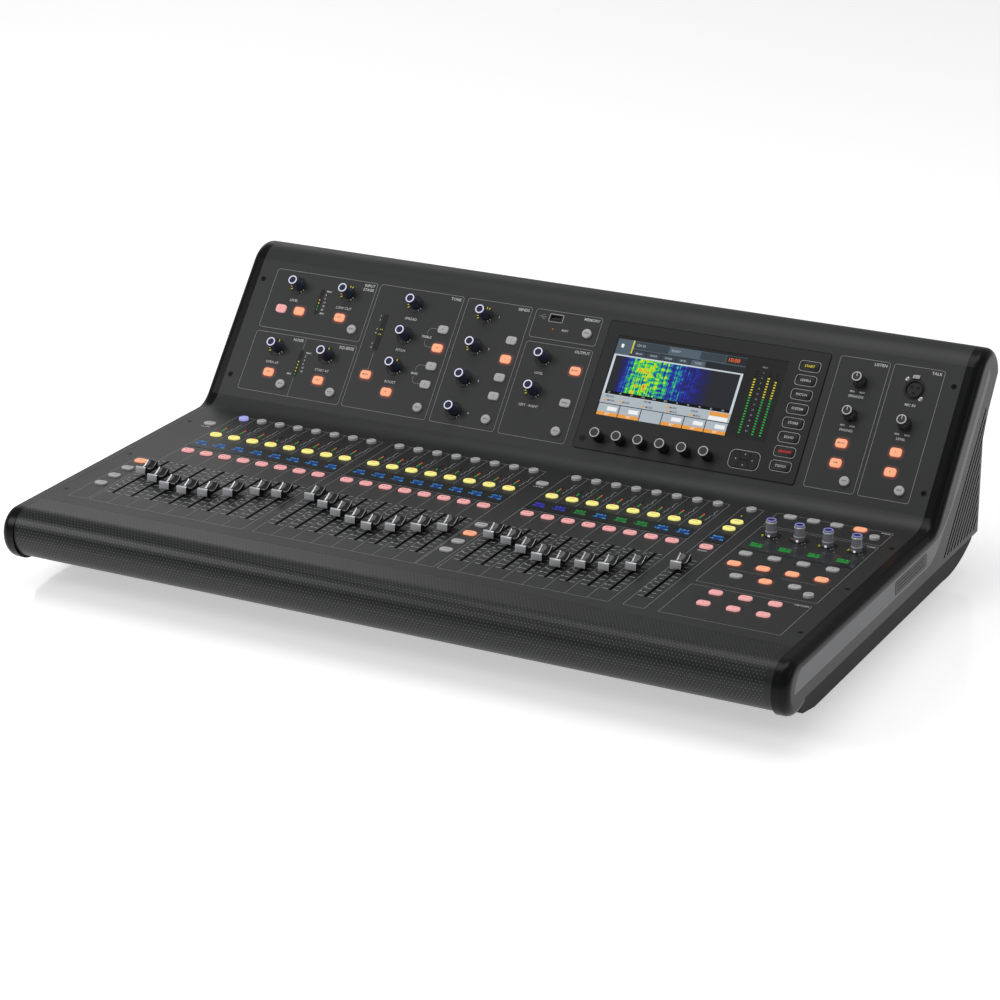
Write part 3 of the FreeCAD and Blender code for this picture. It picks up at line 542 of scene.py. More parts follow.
def glowRing(kind):
    width, depth, corner, height = keyShapes[kind]
    step = glow["reach"] / glow["rings"]
    reach = 2 * glow["reach"]
    bpy.ops.mesh.primitive_plane_add(size=1, location=(0, 0, 0.04), scale=(width + reach, depth + reach, 1))
    piece = bpy.context.object
    piece.scale = (width + reach, depth + reach, 1)
    bpy.ops.object.transform_apply(location=True, rotation=True, scale=True)
    bpy.ops.object.mode_set(mode="EDIT")
    bpy.ops.mesh.select_all(action="SELECT")
    bpy.ops.mesh.bevel(offset=corner + glow["reach"], segments=5, affect="VERTICES")
    bpy.ops.mesh.select_mode(type="FACE")
    bpy.ops.mesh.select_all(action="SELECT")
    for ring in range(glow["rings"]):
        bpy.ops.mesh.inset(thickness=step)
    bpy.ops.mesh.delete(type="FACE")
    bpy.ops.object.mode_set(mode="OBJECT")
    near = piece.data.attributes.new("nearness", "FLOAT", "POINT")
    for point in piece.data.vertices:
        outX = max(0.0, abs(point.co.x) - (width / 2 - corner))
        outY = max(0.0, abs(point.co.y) - (depth / 2 - corner))
        gapOut = math.hypot(outX, outY) - corner
        near.data[point.index].value = max(0.0, min(1.0, 1 - gapOut / glow["reach"]))
    return paint(piece, spill)


for name, table, face in (("deckKeyGlow", deckKeys, "deck"), ("bridgeKeyGlow", bridgeKeys, "bridge")):
    masters = {kind: glowRing(kind) for kind in ("oblong", "broad", "oval")}
    rings = [copyTo(masters[kind], x, y) for kind, x, y, tint, text in table if tint == "orange"]
    settle(joinAs(name, rings), face)
    discard(*masters.values())
print("key glow made")

# fader caps
fader = {"width": 12.0, "length": 26.0, "low": 3.6, "front": 11.4, "saddle": 6.2, "rear": 11.8,
         "rail": 1.0, "leverWidth": 1.2, "leverLength": 5.0, "leverLow": -14.5}


def makeFaderCap():
    half = fader["length"] / 2
    outline = [(-half + 0.3, fader["low"]), (-half, fader["low"] + 1.0), (-half + 0.6, fader["front"] - 0.6),
               (-half + 1.4, fader["front"]), (-half + 3.0, fader["front"] - 0.2)]
    for n in range(1, 10):   # the finger saddle, lowest a little in front of the middle
        along = n / 10
        y = -half + 3.0 + along * (fader["length"] - 4.6)
        dip = math.sin(math.pi * along ** 0.86)
        top = fader["front"] - 0.2 + along * (fader["rear"] - fader["front"] + 0.2)
        outline.append((y, top - dip * (fader["front"] - fader["saddle"] - 0.3)))
    outline += [(half - 1.6, fader["rear"]), (half - 0.6, fader["rear"] - 0.5), (half, fader["low"] + 1.0),
                (half - 0.3, fader["low"])]
    body = plate(outline, fader["width"])
    bpy.ops.object.mode_set(mode="EDIT")   # sink the middle of the top so that a rail stands along each side
    pickFaces(body, lambda middle, normal: normal.y > 0.45 and middle.y > fader["low"] + 2
              and abs(normal.z) < 0.1 and -half + 3.5 < middle.x < half - 1.0)
    bpy.ops.mesh.inset(thickness=fader["rail"], use_boundary=True)
    bpy.ops.transform.translate(value=(0, -0.9, 0))
    bpy.ops.object.mode_set(mode="OBJECT")
    body.location = (-fader["width"] / 2, 0, 0)
    body.rotation_euler = (math.pi / 2, 0, math.pi / 2)
    selectOnly(body)
    bpy.ops.object.transform_apply(location=True, rotation=True, scale=True)
    bevel = body.modifiers.new("soften", "BEVEL")
    bevel.width = 0.35
    bevel.segments = 2
    bevel.limit_method = "ANGLE"
    bevel.angle_limit = math.radians(40)
    bpy.ops.object.modifier_apply(modifier="soften")
    smooth(body, 50)
    paint(body, glossAbs)
    body.data.materials.append(satinChrome)
    for face in body.data.polygons:   # the front block and the rails are plated
        middle = face.center
        onRail = abs(middle.x) > fader["width"] / 2 - fader["rail"] - 0.15 and face.normal.z > 0.25
        if middle.y < -half + 3.6 or (onRail and middle.z > fader["low"] + 1.5):
            face.material_index = 1
    lever = slab(fader["leverWidth"], fader["leverLength"], fader["leverLow"], fader["low"] + 2.0, 0.3, 0.0,
                 1)
    paint(lever, zincSteel)
    return joinAs("faderCap", [body, lever])


faderMaster = makeFaderCap()
for number, x in enumerate(stripX, 1):
    node = "fader_%02d" % number if number < 25 else "fader_main"
    low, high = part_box(node)
    cap = copyTo(faderMaster, x, (low[1] + high[1]) * 500)
    cap.name = "faderCap%02d" % number
    selectOnly(cap)
    bpy.ops.object.transform_apply(location=True, rotation=True, scale=True)
    settle(cap, "deck", node)
    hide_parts(node)
discard(faderMaster)
print("faders made")

# knobs
encoderRows = [158.4, 119.3, 80.2, 41.1]
encoders = {
    "encoder_gain": (-372.9, encoderRows[0], (1, 2)),
    "encoder_low_cut": (-307.0, encoderRows[0], (1, 2, 7, 8)),
    "encoder_gate": (-373.5, encoderRows[2], (1, 2, 7)), "encoder_compressor": (-307.9, encoderRows[2], (7,)),
    "encoder_eq_width": (-219.2, encoderRows[0], (1, 2)),
    "encoder_eq_frequency": (-219.2, encoderRows[1], ()),
    "encoder_eq_gain": (-219.2, encoderRows[2], (7,)),
    "encoder_send_1": (-130.6, encoderRows[0], (1, 2, 7, 8)),
    "encoder_send_2": (-130.6, encoderRows[1], (1, 2)),
    "encoder_send_3": (-130.6, encoderRows[2], ()), "encoder_send_4": (-130.6, encoderRows[3], ()),
    "encoder_main_level": (-44.8, encoderRows[1], ()), "encoder_pan": (-44.8, encoderRows[2], (1, 2)),
}
knob = {"foot": 6.2, "shoulder": 5.2, "height": 18.4, "shaft": -8.5}
ring = {"inner": 6.9, "outer": 10.7, "windows": 15, "span": 280.0, "radius": 8.9}


def makeKnob(bodyFinish, topFinish, height=knob["height"], foot=knob["foot"], shoulder=knob["shoulder"],
             dimpleFinish=None):
    body = paint(lathe([(0.01, knob["shaft"]), (2.9, knob["shaft"]), (2.9, 0.6), (foot - 0.3, 0.6),
                        (foot, 1.0),
                        (shoulder, height - 1.2), (shoulder - 0.25, height - 0.9), (0.01, height - 0.9)]),
                        bodyFinish)
    rim = paint(lathe([(shoulder - 1.2, height - 0.95), (shoulder - 1.1, height - 0.2),
                       (shoulder - 0.8, height),
                       (shoulder - 0.35, height - 0.05), (shoulder - 0.05, height - 0.5),
                       (shoulder - 0.05, height - 0.95)]), topFinish)
    dimple = paint(lathe([(0.01, height - 0.75), (shoulder - 1.3, height - 0.75),
                          (shoulder - 1.2, height - 0.95)]),
                   dimpleFinish or bodyFinish)
    return joinAs("knob", [body, rim, dimple])


violetRim = litFinish("lavenderGlowRing", {"edge": "#d2d4f2", "core": "#f2f2ff", "glow": 0.78, "body": 0.4})
navyDimple = litFinish("navyGlowDimple", {"edge": "#22243a", "core": "#2c2e4a", "glow": 0.42, "body": 0.4})
whiteRim = grainedFinish("whitePrintedRing", {
    "dark": "#d8d8d8", "light": "#e4e4e4", "gloss": (0.35, 0.45), "grainMm": 1.0, "relief": 0.0,
    "shader": {}})

encoderMaster = makeKnob(smokedKnob, violetRim, dimpleFinish=navyDimple)
for node, (x, y, lit) in encoders.items():
    piece = joinAs("knob_" + node, [copyTo(encoderMaster, x, y)])
    settle(piece, "bridge", node)
    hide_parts(node)
discard(encoderMaster)

screenKnobs = {"firstX": 48.5, "pitch": 25.7, "y": 39.2, "height": 15.0, "foot": 6.4, "shoulder": 5.7}
master = makeKnob(softTouch, whiteRim, screenKnobs["height"], screenKnobs["foot"], screenKnobs["shoulder"])
piece = joinAs("screenKnobs",
               [copyTo(master, screenKnobs["firstX"] + screenKnobs["pitch"] * n, screenKnobs["y"], 1.0)
                               for n in range(6)])
settle(piece, "bridge", "screen_encoders")
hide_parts("screen_encoders")
discard(master)

assign = {"firstX": 298.8, "pitch": 31.2, "y": 19.8}
violetGlow = litFinish("blueVioletGlowRing", {"edge": "#7272c4", "core": "#a2a2e2", "glow": 0.7, "body": 0.3})


def makeAssignKnob():
    knobParts = [makeKnob(clearKnob, violetGlow, dimpleFinish=navyDimple)]
    knobParts.append(paint(lathe([(5.15, 14.6), (5.75, 14.8), (5.75, 15.8), (5.1, 16.2)]), satinChrome))
    knobParts.append(paint(lathe([(5.95, 5.2), (6.15, 5.4), (6.1, 6.4), (5.9, 6.6)]), satinChrome))
    spot = slab(2.4, 0.8, 0.9, 2.9, 0.3, 0.0, 2)
    spot.location = (0, -6.1, 0)
    knobParts.append(paint(spot, lamps["white"]))
    return joinAs("assignKnob", knobParts)


master = makeAssignKnob()
piece = joinAs("assignKnobs",
               [copyTo(master, assign["firstX"] + assign["pitch"] * n, assign["y"]) for n in range(4)])
settle(piece, "deck", "assign_encoders")
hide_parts("assign_encoders")
discard(master)

pots = {"pot_monitor_level": (319.8, 150.0), "pot_phones_level": (319.8, 111.1),
        "pot_talkback_gain": (380.8, 110.7)}
pot = {"ribs": 18, "skirt": 7.3, "height": 15.4}


def makePot():
    parts = [makeKnob(softTouch, whiteRim, pot["height"], 5.6, 5.4)]
    skirt = lathe([(5.9, 0.6), (pot["skirt"], 0.6), (pot["skirt"], 1.2), (6.3, 9.5), (5.9, 9.8)],
                  pot["ribs"] * 2, 20)
    bpy.ops.object.mode_set(mode="EDIT")   # every other panel of the skirt stands proud as a grip rib
    pickFaces(skirt, lambda middle, normal: 1.5 < middle.z < 9.4 and abs(normal.z) < 0.5
              and int(((math.degrees(math.atan2(middle.y,
                                                middle.x)) + 360) % 360) / (180 / pot["ribs"])) % 2 == 0)
    bpy.ops.mesh.inset(thickness=0.12, depth=0.0, use_individual=True)
    bpy.ops.transform.resize(value=(1.05, 1.05, 1.0))
    bpy.ops.object.mode_set(mode="OBJECT")
    parts.append(paint(skirt, clearSkirt))
    pointer = slab(0.7, 4.2, pot["height"] - 0.8, pot["height"] - 0.55, 0.2, 0.0, 2)
    pointer.location = (0, 2.2, 0)
    parts.append(paint(pointer, whiteRim))
    return joinAs("pot", parts)


potMaster = makePot()
for node, (x, y) in pots.items():
    piece = joinAs("knob_" + node, [copyTo(potMaster, x, y)])
    settle(piece, "bridge", node)
    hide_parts(node)
discard(potMaster)
print("knobs made")

# LED collars round the encoders


def makeCollar(windows, lit, tint):
    parts = [paint(lathe([(ring["inner"], 0.0), (ring["inner"], 0.22), (ring["outer"] - 0.3, 0.22),
                          (ring["outer"], 0.0)], 40), collarAcrylic)]
    for n in range(windows):
        angle = math.radians(-90 - (360 - ring["span"]) / 2 - ring["span"] * n / (windows - 1))
        part = copyTo(windowMaster, ring["radius"] * math.cos(angle), ring["radius"] * math.sin(angle), 0.1,
                      angle - math.pi / 2)
        parts.append(paint(part, lamps[tint] if n in lit else fineInk if n > windows - 3 else lamps["off"]))
    return parts


collarAcrylic = grainedFinish("blackCollarAcrylic", {
    "dark": "#131414", "light": "#181919", "gloss": (0.42, 0.48), "grainMm": 2.0, "relief": 0.0,
    "shader": {"Specular IOR Level": 0.3}})
windowMaster = slab(0.9, 2.2, 0.0, 0.2, 0.15, 0.0, 1)
collars = []
for node, (x, y, lit) in encoders.items():
    for part in makeCollar(ring["windows"], lit, "yellow"):
        part.location.x += x
        part.location.y += y
        collars.append(part)
settle(joinAs("encoderCollars", collars), "bridge")
collars = []
for n in range(4):
    for part in makeCollar(ring["windows"], ((1, 2), (3,), (1, 2), (2, 3))[n],
                           "orange" if n == 1 else "yellow"):
        part.location.x += assign["firstX"] + assign["pitch"] * n
        part.location.y += assign["y"]
        collars.append(part)
settle(joinAs("assignCollars", collars), "deck")
discard(windowMaster)
print("collars made")

# display windows and their figures
banks = [{"x": (-381.4, -192.8), "first": 0, "count": 8, "tints": ["blue"] * 8},
         {"x": (-180.2, 9.7), "first": 8, "count": 8, "tints": ["blue"] * 8},
         {"x": (36.5, 226.0), "first": 16, "count": 8,
          "tints": ["violet", "violet", "green", "blue", "green", "green", "blue", "blue"]},
         {"x": (241.4, 264.6), "first": 24, "count": 1, "tints": ["blue"]}]
deepTint = {"blue": "deepBlue", "violet": "deepViolet", "green": "deepGreen"}


def window(left, right, front, rear, finish, height=0.35):
    piece = slab(right - left, rear - front, 0.0, height, 1.2, 0.0, 3)
    piece.location = ((left + right) / 2, (front + rear) / 2, 0)
    return paint(piece, finish)


windows = []
glyphs = []
for bank in banks:
    front, rear = strips["displayY"]
    windows.append(window(bank["x"][0] + 0.6, bank["x"][1] - 0.6, front, rear,
                          smokedAcrylic))
    for n in range(bank["count"]):
        x = stripX[bank["first"] + n]
        tint = bank["tints"][n]
        glyphs.append(window(x - 4.6, x + 5.4, -16.5, -6.5, lamps[deepTint[tint]], 0.40))
        name = "CH %d" % (bank["first"] + n + 1) if bank["first"] < 16 else ("BUS %d" % (n + 1),
                                                                             "MAIN")[bank["count"] == 1]
        glyphs.append(word(name, x - 1.0, -7.4, 3.4, lamps[tint], lift=0.5))
        glyphs.append(word("%+d" % ((n * 7) % 9 - 6), x - 5.4, -13.8, 4.4, lamps[tint], lift=0.5))
        glyphs.append(word("dB", x + 5.6, -15.4, 3.4, lamps[tint], lift=0.5))
windows.append(window(281.0, 406.0, -26.0, 1.3, greyAcrylic))
for n in range(4):
    x = assign["firstX"] - 3.0 + 31.4 * n
    glyphs.append(window(x - 7.0, x + 7.0, -16.5, -6.5, lamps["deepGreen"], 0.40))
    glyphs.append(word("FX %d" % (n + 1), x - 1.0, -9.0, 4.4, lamps["green"], lift=0.5))
    glyphs.append(word("SEND", x + 1.0, -14.4, 3.8, lamps["green"], lift=0.5))
settle(joinAs("displayWindows", windows), "deck")
settle(joinAs("displayFigures", glyphs), "deck")
print("displays made")

# printed lines and words on the deck
deckPrint = {"line": 0.5, "fine": 0.42, "tick": 0.75}
outlines = []
divides = []
for bank in banks:
    front, rear = strips["frameY"]
    outlines.append(roundedOutline(bank["x"][0], bank["x"][1], front, rear, 1.2))
    for n in range(bank["count"] - 1):
        x = (stripX[bank["first"] + n] + stripX[bank["first"] + n + 1]) / 2
        divides += [[(x, front), (x, strips["displayY"][0])], [(x, strips["displayY"][1]), (x, rear)]]
    divides.append([(bank["x"][0], -27.5), (bank["x"][1], -27.5)])
outlines.append(roundedOutline(279.4, 407.1, -214.9, -135.5, 1.2))
outlines.append(roundedOutline(279.8, 408.4, -126.5, 40.8, 1.2))
outlines.append(roundedOutline(279.8, 408.4, 45.0, 82.9, 1.2))
outlines.append(roundedOutline(-408.0, -385.0, -214.9, -80.0, 1.2))
outlines.append(roundedOutline(11.5, 32.3, -214.9, -80.0, 1.2))
zigzags = []
for x in stripX[:-1]:
    zigzags.append([(x + 6.2, 29.5), (x + 6.2, 34.0), (x + 7.4, 37.0), (x + 6.2, 42.0), (x + 8.6, 47.0),
                    (x + 7.2, 52.0), (x + 7.2, 60.0), (x + 8.8, 60.0)])
ticks = []
for x in stripX:
    for n in range(12):
        y = strips["slotY"][0] + 2.0 + n * 9.6
        reach = 8.6 if n % 2 == 0 else 7.2
        ticks += [[(x - reach, y), (x - 2.6, y)], [(x + 2.6, y), (x + reach, y)]]
connectors = [[(295.0, -82.5), (333.0, -82.5)], [(352.0, -82.5), (390.0, -82.5)]]
parts = [inkLines("frames", outlines, deckPrint["line"], fineInk, closed=True),
         inkLines("divides", divides + connectors, deckPrint["fine"], fineInk),
         inkLines("zigzags", zigzags, deckPrint["line"], paleInk),
         inkLines("ticks", ticks, deckPrint["tick"], paleInk)]
settle(joinAs("deckPrintLines", parts), "deck")

deckWords = []
for x in stripX:
    for n, figure in enumerate(("10", "5", "0", "5", "10", "20", "30", "40", "60")):
        deckWords.append(word(figure, x - 9.9, strips["slotY"][1] - 5.0 - n * 11.6, 2.2, paleInk))
for n in range(4):
    deckWords.append(word(str(n + 1), assign["firstX"] + assign["pitch"] * n + 12, 6.6, 2.0, paleInk))
deckWords += [word("GROUPS", 405.5, -130.6 - 8.0, 3.0, paleInk, "RIGHT"),
              word("USER", 406.5, 37.4, 3.0, paleInk, "RIGHT"),
              word("PAGE", 406.5, 79.0, 3.0, paleInk, "RIGHT"),
              word("MAIN", stripX[-1], -50.5, 3.0, paleInk), word("LAYERS", -396.4, 37.5, 2.6, paleInk),
              word("LAYERS", 22.9, 37.5, 2.6, paleInk)]
settle(joinAs("deckPrintWords", deckWords), "deck")
print("deck printing made")

# level lamps beside each strip
lampMaster = slab(1.1, 1.6, 0.0, 0.35, 0.25, 0.0, 1)
lampTints = ["green", "green", "green", "orange", "orange", "orange", "off"]
stripLamps = []
for number, x in enumerate(stripX[:-1]):
    level = (5, 6, 6, 2, 4, 6, 5, 6)[number % 8] if number < 16 else (5, 3, 6, 6, 4, 5, 6, 6)[number % 8]
    stripLamps.append(paint(copyTo(lampMaster, x - 3.2, 29.6), lamps["red"]))
    for n in range(7):
        tint = lampTints[n] if n < level else "off"
        stripLamps.append(paint(copyTo(lampMaster, x - 1.2, 33.0 + 2.4 * n), lamps[tint]))
stripLamps.append(paint(copyTo(lampMaster, stripX[-1] - 3.0, 57.6), lamps["yellow"]))
settle(joinAs("stripLamps", stripLamps), "deck")
print("strip lamps made")

# printing on the bridge
bridgeFrames = [
    (-406.3, -273.9, 102.7, 176.0), (-406.4, -273.9, 24.3, 97.3), (-269.8, -162.3, 24.6, 176.0),
    (-156.7, -76.3, 24.6, 176.0), (-70.9, 10.7, 142.0, 176.0), (-70.9, 10.7, 24.6, 136.5),
    (291.2, 347.2, 24.9, 176.0), (351.8, 408.3, 24.9, 176.0)]
bridgeOutlines = [roundedOutline(left, right, low, high, 3.0) for left, right, low, high in bridgeFrames]
brackets = [[(-340.2, 24.3), (-340.2, 47.0)], [(-340.2, 84.0), (-340.2, 97.3)],
            [(-251.3, 71.5), (-251.3, 93.0)],
            [(-182.0, 133.2), (-190.0, 133.2), (-193.0, 130.0), (-193.0, 125.5)],
            [(-182.0, 110.5), (-190.0, 110.5), (-193.0, 113.7), (-193.0, 118.2)],
            [(-182.0, 88.0), (-190.0, 88.0), (-193.0, 84.8), (-193.0, 80.3)],
            [(-182.0, 65.5), (-190.0, 65.5), (-193.0, 68.7), (-193.0, 73.2)]]
modeKeys = {"x": 260.8, "firstY": 41.7, "pitch": 16.55, "words": [
    "TOOLS", "GROUPS", "ECHO", "STORE", "SYSTEM", "PATCH", "LEVELS", "START"]}
brackets += [[(-66.0, 167.7), (-56.5, 167.7)], [(-63.5, 167.7), (-61.0, 170.2), (-58.5, 170.2)],
             [(-62.0, 167.7), (-60.0, 165.2), (-57.5, 165.2)]]
usbRim = roundedOutline(-53.0, -36.4, 163.2, 172.2, 1.2)
parts = [inkLines("usbRim", [usbRim], 0.9, paleInk, closed=True),
         inkLines("frames", bridgeOutlines, 0.5, fineInk, closed=True),
         inkLines("brackets", brackets, 0.45, fineInk)]
settle(joinAs("bridgePrintLines", parts), "bridge")
bridgeWords = [
    ("INPUT", -276.5, 171.6, 3.5, "RIGHT"), ("STAGE", -276.5, 166.6, 3.5, "RIGHT"),
    ("LEVEL", -372.9, 140.0, 3.2, "CENTER"), ("LOW CUT", -307.0, 140.0, 3.2, "CENTER"),
    ("NOISE", -343.0, 93.0, 3.5, "RIGHT"), ("SQUEEZE", -276.5, 93.0, 3.5, "RIGHT"),
    ("OPEN AT", -373.5, 61.8, 3.0, "CENTER"), ("START AT", -307.9, 61.8, 3.0, "CENTER"),
    ("TONE", -165.0, 171.6, 3.5, "RIGHT"), ("SPREAD", -219.2, 140.0, 3.2, "CENTER"),
    ("PITCH", -219.2, 101.0, 3.2, "CENTER"), ("BOOST", -219.2, 61.8, 3.2, "CENTER"),
    ("TREBLE", -193.0, 121.8, 2.9, "CENTER"), ("BASS", -193.0, 76.7, 2.9, "CENTER"),
    ("SENDS", -79.0, 171.6, 3.5, "RIGHT"), ("MEMORY", 8.0, 171.6, 3.5, "RIGHT"),
    ("OUTPUT", 8.0, 132.2, 3.5, "RIGHT"), ("LEVEL", -44.8, 101.0, 3.0, "CENTER"),
    ("LEFT - RIGHT", -44.8, 61.8, 3.0, "CENTER"), ("BUSY", -34.0, 154.6, 2.6, "LEFT"),
    ("1", -113.0, 158.4, 2.8, "CENTER"), ("2", -113.0, 119.3, 2.8, "CENTER"),
    ("3", -113.0, 80.2, 2.8, "CENTER"), ("4", -113.0, 41.1, 2.8, "CENTER"),
    ("LISTEN", 344.5, 171.6, 3.5, "RIGHT"), ("TALK", 405.6, 171.6, 3.5, "RIGHT"),
    ("SPEAKERS", 319.8, 132.5, 2.9, "CENTER"), ("PHONES", 319.8, 93.5, 2.9, "CENTER"),
    ("MIC IN", 380.4, 132.5, 2.9, "CENTER"), ("LEVEL", 380.8, 93.5, 2.9, "CENTER")]
for x, y in ((319.8, 137.8), (319.8, 98.8), (380.8, 98.8)):
    bridgeWords += [("MIN", x - 5.6, y, 2.1, "CENTER"), ("MAX", x + 5.6, y, 2.1, "CENTER")]
for n, figure in enumerate(("MAX", "6", "9", "12", "18", "30", "MIN")):
    bridgeWords.append((figure, -335.0, 157.0 - 4.6 * n, 2.3, "LEFT"))
for n, figure in enumerate(("MAX", "2", "4", "6", "10", "18")):
    bridgeWords.append((figure, -334.6, 79.5 - 4.6 * n, 2.3, "LEFT"))
for n, figure in enumerate(("1", "2", "3", "4", "5", "6")):
    bridgeWords.append((figure, -256.0, (138.0, 133.4, 121.6, 117.0, 104.0, 99.4)[n], 2.3, "RIGHT"))
bridgeWords.append(("MIN", -344.6, 51.5, 2.3, "RIGHT"))
settle(joinAs("bridgePrintWords", [word(text, x, y, size, paleInk, align)
                                   for text, x, y, size, align in bridgeWords]), "bridge")
print("bridge printing made")

# level lamp columns on the bridge
ladderParts = []
ladders = [
    {"x": -340.2, "y": (127.5, 159.0), "lit": {1: "green", 2: "green", 3: "yellow", 4: "yellow"}, "count": 8},
    {"x": -340.2, "y": (49.7, 81.5), "lit": {0: "green", 1: "yellow", 2: "yellow", 3: "yellow", 4: "yellow"},
     "count": 8}]
for ladder in ladders:
    low, high = ladder["y"]
    ladderParts.append(window(ladder["x"] - 2.3, ladder["x"] + 2.3, low, high, collarAcrylic, 0.3))
    for n in range(ladder["count"]):
        y = low + 2.4 + n * (high - low - 4.6) / (ladder["count"] - 1)
        part = copyTo(lampMaster, ladder["x"], y, 0.1)
        ladderParts.append(paint(part, lamps[ladder["lit"].get(n, "off")]))
shapeStrip = {"x": -251.0, "y": (96.3, 141.0)}
ladderParts.append(window(shapeStrip["x"] - 3.2, shapeStrip["x"] + 3.2, *shapeStrip["y"], collarAcrylic, 0.3))
for n, y in enumerate((100.0, 105.0, 110.5, 116.0, 122.0, 128.0, 133.5, 138.0)):
    for lean in (-1, 1):
        part = copyTo(lampMaster, shapeStrip["x"] + 1.2 * lean, y, 0.1, lean * 0.7, 0.8)
        ladderParts.append(paint(part, lamps["yellow" if n in (3, 4) else "off"]))
ladderParts.append(paint(copyTo(lampMaster, -44.8, 154.5, 0.0), lamps["orange"]))
settle(joinAs("bridgeLadders", ladderParts), "bridge")
print("bridge lamps made")

# screen
screen = {"x": (36.5, 189.7), "y": (64.6, 155.9), "lift": 0.62, "layer": 0.03}
tints = {
    "steel": litFinish("screenSteel", {"edge": "#52626e", "core": "#5c6d7a", "glow": 0.8, "rough": 0.25}),
    "slate": litFinish("screenSlate", {"edge": "#3a444c", "core": "#404b54", "glow": 0.8, "rough": 0.25}),
    "mist": litFinish("screenMist", {"edge": "#a9b4bb", "core": "#b4bec5", "glow": 0.92, "rough": 0.25}),
    "pale": litFinish("screenPale", {"edge": "#c6d0d8", "core": "#d2dbe1", "glow": 0.92, "rough": 0.25}),
    "black": litFinish("screenBlack", {"edge": "#101214", "core": "#14171a", "glow": 0.4, "rough": 0.2}),
    "amber": litFinish("screenAmber", {"edge": "#e8983a", "core": "#f0a44c", "glow": 0.9, "rough": 0.25}),
    "night": litFinish("screenNight", {"edge": "#2b2f33", "core": "#303539", "glow": 0.6, "rough": 0.25}),
    "white": litFinish("screenWhite", {"edge": "#eef0f2", "core": "#f8f9fa", "glow": 0.9, "rough": 0.25}),
    "time": litFinish("screenTimeDigits", {"edge": "#e8632c", "core": "#ff7a3e", "glow": 1.0, "rough": 0.25}),
    "ink": litFinish("screenDarkText", {"edge": "#2a3036", "core": "#343b42", "glow": 0.3, "rough": 0.25}),
}


def spectrumFinish():   # a picture of sound: rows of time, columns of pitch, from blue through green to red
    finish = bpy.data.materials.new("spectrumPicture")
    finish.use_nodes = True
    tree = finish.node_tree
    shader = tree.nodes["Principled BSDF"]
    shader.inputs["Roughness"].default_value = 0.25
    shader.inputs["Specular IOR Level"].default_value = 0.25
    shader.inputs["Base Color"].default_value = colour("#101010")
    shader.inputs["Emission Strength"].default_value = 0.9
    place = addNode(tree, "ShaderNodeTexCoord", {})
    across = addNode(tree, "ShaderNodeSeparateXYZ", {}, {"Vector": place.outputs["Object"]})
    columns = addNode(tree, "ShaderNodeMapping", {"Scale": (640.0, 18.0, 22.0)},
                      {"Vector": place.outputs["Object"]})
    streaks = addNode(tree, "ShaderNodeTexNoise", {"Scale": 1.0, "Detail": 2.0},
                      {"Vector": columns.outputs[0]})
    rows = addNode(tree, "ShaderNodeMapping", {"Scale": (150.0, 240.0, 290.0)},
                   {"Vector": place.outputs["Object"]})
    beats = addNode(tree, "ShaderNodeTexNoise", {"Scale": 1.0, "Detail": 3.0}, {"Vector": rows.outputs[0]})
    rise = addNode(tree, "ShaderNodeMapRange", {"From Min": 0.046, "From Max": 0.072},
                   {"Value": across.outputs["X"]})
    fall = addNode(tree, "ShaderNodeMapRange", {"From Min": 0.158, "From Max": 0.078},
                   {"Value": across.outputs["X"]})
    body = addNode(tree, "ShaderNodeMath", {"operation": "MULTIPLY"},
                   {0: rise.outputs[0], 1: fall.outputs[0]})
    mixed = addNode(tree, "ShaderNodeMath", {"operation": "MULTIPLY"},
                    {0: streaks.outputs["Fac"], 1: beats.outputs["Fac"]})
    loud = addNode(tree, "ShaderNodeMath", {"operation": "MULTIPLY_ADD", 1: 2.9, 2: -0.2},
                   {0: mixed.outputs[0]})
    level = addNode(tree, "ShaderNodeMath", {"operation": "MULTIPLY"},
                    {0: loud.outputs[0], 1: body.outputs[0]})
    ramp = addNode(tree, "ShaderNodeValToRGB", {}, {"Fac": level.outputs[0]})
    stops = [(0.0, "#20242a"), (0.10, "#1a1a5e"), (0.26, "#1c2fb4"), (0.40, "#12b06a"), (0.52, "#5ee81e"),
             (0.66, "#e4f02a"), (0.84, "#f06a28")]
    ramp.color_ramp.elements.remove(ramp.color_ramp.elements[1])
    ramp.color_ramp.elements[0].color = colour(stops[0][1])
    for stop, code in stops[1:]:
        ramp.color_ramp.elements.new(stop).color = colour(code)
    tree.links.new(ramp.outputs["Color"], shader.inputs["Emission Color"])
    return finish


def tile(left, right, low, high, finish, layer):   # a lit rectangle of the picture, in fractions of its size
    spanX = screen["x"][1] - screen["x"][0]
    spanY = screen["y"][1] - screen["y"][0]
    width, depth = (right - left) * spanX, (high - low) * spanY
    bpy.ops.mesh.primitive_plane_add(size=1)
    piece = bpy.context.object
    piece.scale = (width, depth, 1)
    piece.location = (screen["x"][0] + (left + right) / 2 * spanX, screen["y"][0] + (low + high) / 2 * spanY,
                      screen["lift"] + layer * screen["layer"])
    return paint(piece, finish)


def screenWord(text, x, y, height, finish, align="LEFT"):
    spanX = screen["x"][1] - screen["x"][0]
    spanY = screen["y"][1] - screen["y"][0]
    return word(text, screen["x"][0] + x * spanX, screen["y"][0] + y * spanY, height, finish, align,
                lift=screen["lift"] + 6 * screen["layer"])


